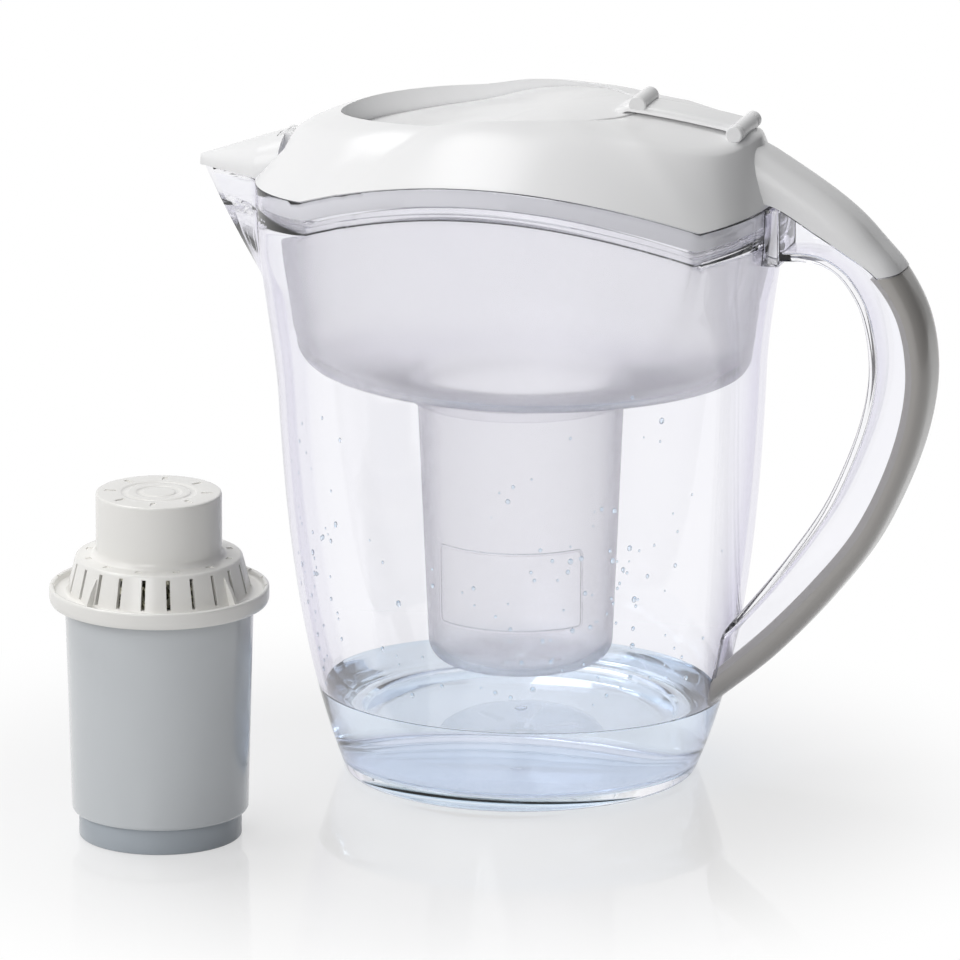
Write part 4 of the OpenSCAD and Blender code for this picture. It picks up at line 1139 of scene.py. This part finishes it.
housing_cup = mesh_piece("housing_cup", *turned([
    (floor_open_r, foot_ring_h), (housing_bottom_r - 0.6, foot_ring_h), (housing_bottom_r, foot_ring_h + 1),
    (housing_top_r, cap_h), (housing_top_r - shell_t, cap_h),
    (housing_bottom_r - shell_t, foot_ring_h + shell_t), (floor_open_r, foot_ring_h + shell_t),
], middle=cartridge, ease=0.4), housing_grey)
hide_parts("cartridge_housing")
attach(housing_cup, "cartridge_body")

foot_cup = mesh_piece("foot_cup", *turned([
    (0, foot_ring_h - 0.2), (0, foot_ring_h + shell_t), (floor_open_r - floor_play, foot_ring_h + shell_t),
    (floor_open_r - floor_play, foot_ring_h), (foot_ring_r, foot_ring_h), (foot_ring_r, 0),
    (foot_ring_r - foot_ring_t, 0), (foot_ring_r - foot_ring_t, foot_ring_h - 1.6), (3, foot_ring_h - 1.6),
], middle=cartridge, ease=0.6), foot_grey)
carve(foot_cup, *ring_of_cuts(
    grille_count, (9, -1.2, foot_ring_h - 4), (20, 1.2, foot_ring_h + 6), middle=cartridge
))
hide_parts("cartridge_foot")
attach(foot_cup, "cartridge_body")

# The cap: a knob to lift it by, a cone with inlet slots and a rimmed flange, in one moulding.
# The cone has four gussets, and its top ring has windows over the granules.
knob_r, lip_h, slot_half, slot_count, window_count, mark_count = 23.5, 5.2, 0.75, 22, 12, 8
collar_low_r, collar_high_r, collar_low_h, collar_high_h = flange_r - 6.5, knob_r + 7.5, cap_h + 3, cap_h + 17
spigot_in_r, spigot_out_r, spigot_low_h = housing_top_r + 0.2, housing_top_r + 1.6, cap_h - 2.1
knob_under_h, groove_h, collar_in_low_r = cartridge_h - shell_t, cartridge_h - 0.35, collar_low_r - 2.2
cap_white = plastic(
    "cap_white", (0.86, 0.85, 0.825), (0.84, 0.83, 0.80), 0.2, ripple=0.00005, ripple_size=420.0
)
cap_shell = mesh_piece("cap_shell", *turned([
    (spigot_in_r, spigot_low_h), (spigot_out_r, spigot_low_h), (spigot_out_r, cap_h), (flange_r - 1.8, cap_h),
    (flange_r - 1.6, cap_h - 1.2), (flange_r - 0.7, cap_h - 1.2), (flange_r, cap_h + 0.4),
    (flange_r, cap_h + lip_h), (flange_r - 1.8, cap_h + lip_h), (flange_r - 2.2, collar_low_h),
    (collar_low_r, collar_low_h), (collar_high_r, collar_high_h), (knob_r + 1.4, collar_high_h + 0.2),
    (knob_r, collar_high_h + 2), (knob_r, cartridge_h),
    (14.2, cartridge_h), (13.6, groove_h), (12.2, groove_h), (11.6, cartridge_h),
    (8.6, cartridge_h), (8.0, groove_h), (6.6, groove_h), (6.0, cartridge_h), (0, cartridge_h),
    (0, knob_under_h), (knob_r - shell_t, knob_under_h), (knob_r - shell_t, collar_high_h - 0.8),
    (collar_high_r - 1.4, collar_high_h - shell_t), (collar_in_low_r, collar_low_h - 0.6),
    (collar_in_low_r, cap_h), (spigot_in_r, cap_h),
], 168, cartridge, ease=0.9), cap_white)
carve(
    cap_shell,
    *ring_of_cuts(slot_count, (collar_high_r - 3, -slot_half, collar_low_h + 1.4),
                  (collar_high_r + 9, slot_half, collar_low_h + 12.4), 0.0, cartridge),
    *ring_of_cuts(window_count, (knob_r + 2.4, -1.3, collar_high_h - 0.25),
                  (knob_r + 4.6, 1.3, collar_high_h + 3), camera_side + math.pi / window_count, cartridge),
    *ring_of_cuts(mark_count, (knob_r * 0.68, -0.9, cartridge_h - 0.4),
                  (knob_r * 0.86, 0.9, cartridge_h + 1), 0.2, cartridge),
)
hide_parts("cartridge_cap")
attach(cap_shell, "cartridge_body")

gusset_half, gusset_slope = 0.7, [
    (collar_low_r - 1, collar_low_h - 0.2), (collar_low_r + 3.4, collar_low_h - 0.2),
    (collar_low_r + 0.6, collar_low_h + 6.0), (collar_high_r + 1.2, collar_high_h - 3.4),
    (collar_high_r, collar_high_h - 3.4),
]
for number, degrees in enumerate((-46, 51, 134, 224), 1):
    turn = camera_side + math.radians(degrees)
    outward = np.array([math.cos(turn), math.sin(turn), 0])
    across = np.array([-math.sin(turn), math.cos(turn), 0])
    gusset = mesh_piece(f"cap_gusset_{number}", *skin([
        [(*cartridge, z) + outward * r + across * w for r, z in gusset_slope]
        for w in (-gusset_half, gusset_half)
    ]), cap_white)
    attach(gusset, "cartridge_body")

# The seal ring under the flange, a pale soft rubber.
rubber = plastic("seal_rubber", (0.60, 0.60, 0.58), (0.57, 0.57, 0.55), 0.62, ripple=0.00006, ripple_size=700.0)
seal_in_r, seal_out_r, seal_t = housing_top_r + 1.7, housing_top_r + 3.2, 1.4
seal_ring = mesh_piece("seal_ring", *turned([
    (seal_in_r, cap_h - seal_t), (seal_out_r, cap_h - seal_t), (seal_out_r, cap_h), (seal_in_r, cap_h)
], middle=cartridge, ease=0.4), rubber)
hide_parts("cartridge_seal")
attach(seal_ring, "cartridge_body")

# The mineral granules that show through the slots, mixed grey-green, sand and dark beads. Most
# lie behind the slots of the cone, and the rest under the windows of its top ring.
side_count, top_count = 500, 120
grain_colours = [
    (0.0, (0.1, 0.1, 0.07)), (0.3, (0.36, 0.35, 0.24)), (0.6, (0.62, 0.6, 0.44)), (1.0, (0.85, 0.83, 0.7))
]
grain_material = bpy.data.materials.new("mineral_granules")
grain = fresh_tree(grain_material)
beads = grain.node("ShaderNodeTexVoronoi", inputs={
    "Vector": grain.node("ShaderNodeTexCoord", output=3), "Scale": 420.0
}, output=1)
shade = grain.node("ShaderNodeValToRGB", {"stops": grain_colours}, {
    "Fac": grain.node("ShaderNodeSeparateColor", inputs={"Color": beads})
})
grain.node("ShaderNodeOutputMaterial", inputs={"Surface": grain.node("ShaderNodeBsdfPrincipled", inputs={
    "Base Color": shade, "Roughness": 0.75
})})
random.seed(11)
grains = []
for i in range(side_count + top_count):
    share = random.random()
    radius = random.uniform(0.75, 1.25)
    turn = random.uniform(0, 2 * math.pi)
    if i < side_count:
        z = collar_low_h + 0.5 + 11.5 * share
        r = collar_low_r - 2.3 - (z - collar_low_h) * 0.18 - 1.2 * radius
    else:
        z = collar_high_h - max(3.4, 2.2 + radius)
        r = random.uniform(knob_r + 0.5, collar_high_r - 2.0)
    stretch = [random.uniform(0.75, 1.2) for _ in range(3)]
    middle = (cartridge[0] + r * math.cos(turn), cartridge[1] + r * math.sin(turn), z)
    grains.append(ball(middle, radius, stretch))
granules = mesh_piece("mineral_granules", *joined(grains), grain_material, crease=70)
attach(granules, "cartridge_body")

# What lies sealed in the housing: two felt screens, a felt divider and the two fills.
felt = plastic("felt", (0.78, 0.78, 0.75), (0.7, 0.7, 0.68), 0.9, ripple=0.0003, ripple_size=1500.0)
carbon = plastic(
    "carbon_granules", (0.03, 0.03, 0.03), (0.06, 0.06, 0.06), 0.8, ripple=0.0006, ripple_size=700.0
)
for node, finish in (
    ("door_pin", pin_material), ("flap_pin", pin_material), ("inlet_screen", felt), ("bed_divider", felt),
    ("outlet_screen", felt), ("mineral_bed", grain_material), ("carbon_bed", carbon)
):
    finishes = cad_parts[node].data.materials
    finishes.clear()
    finishes.append(finish)
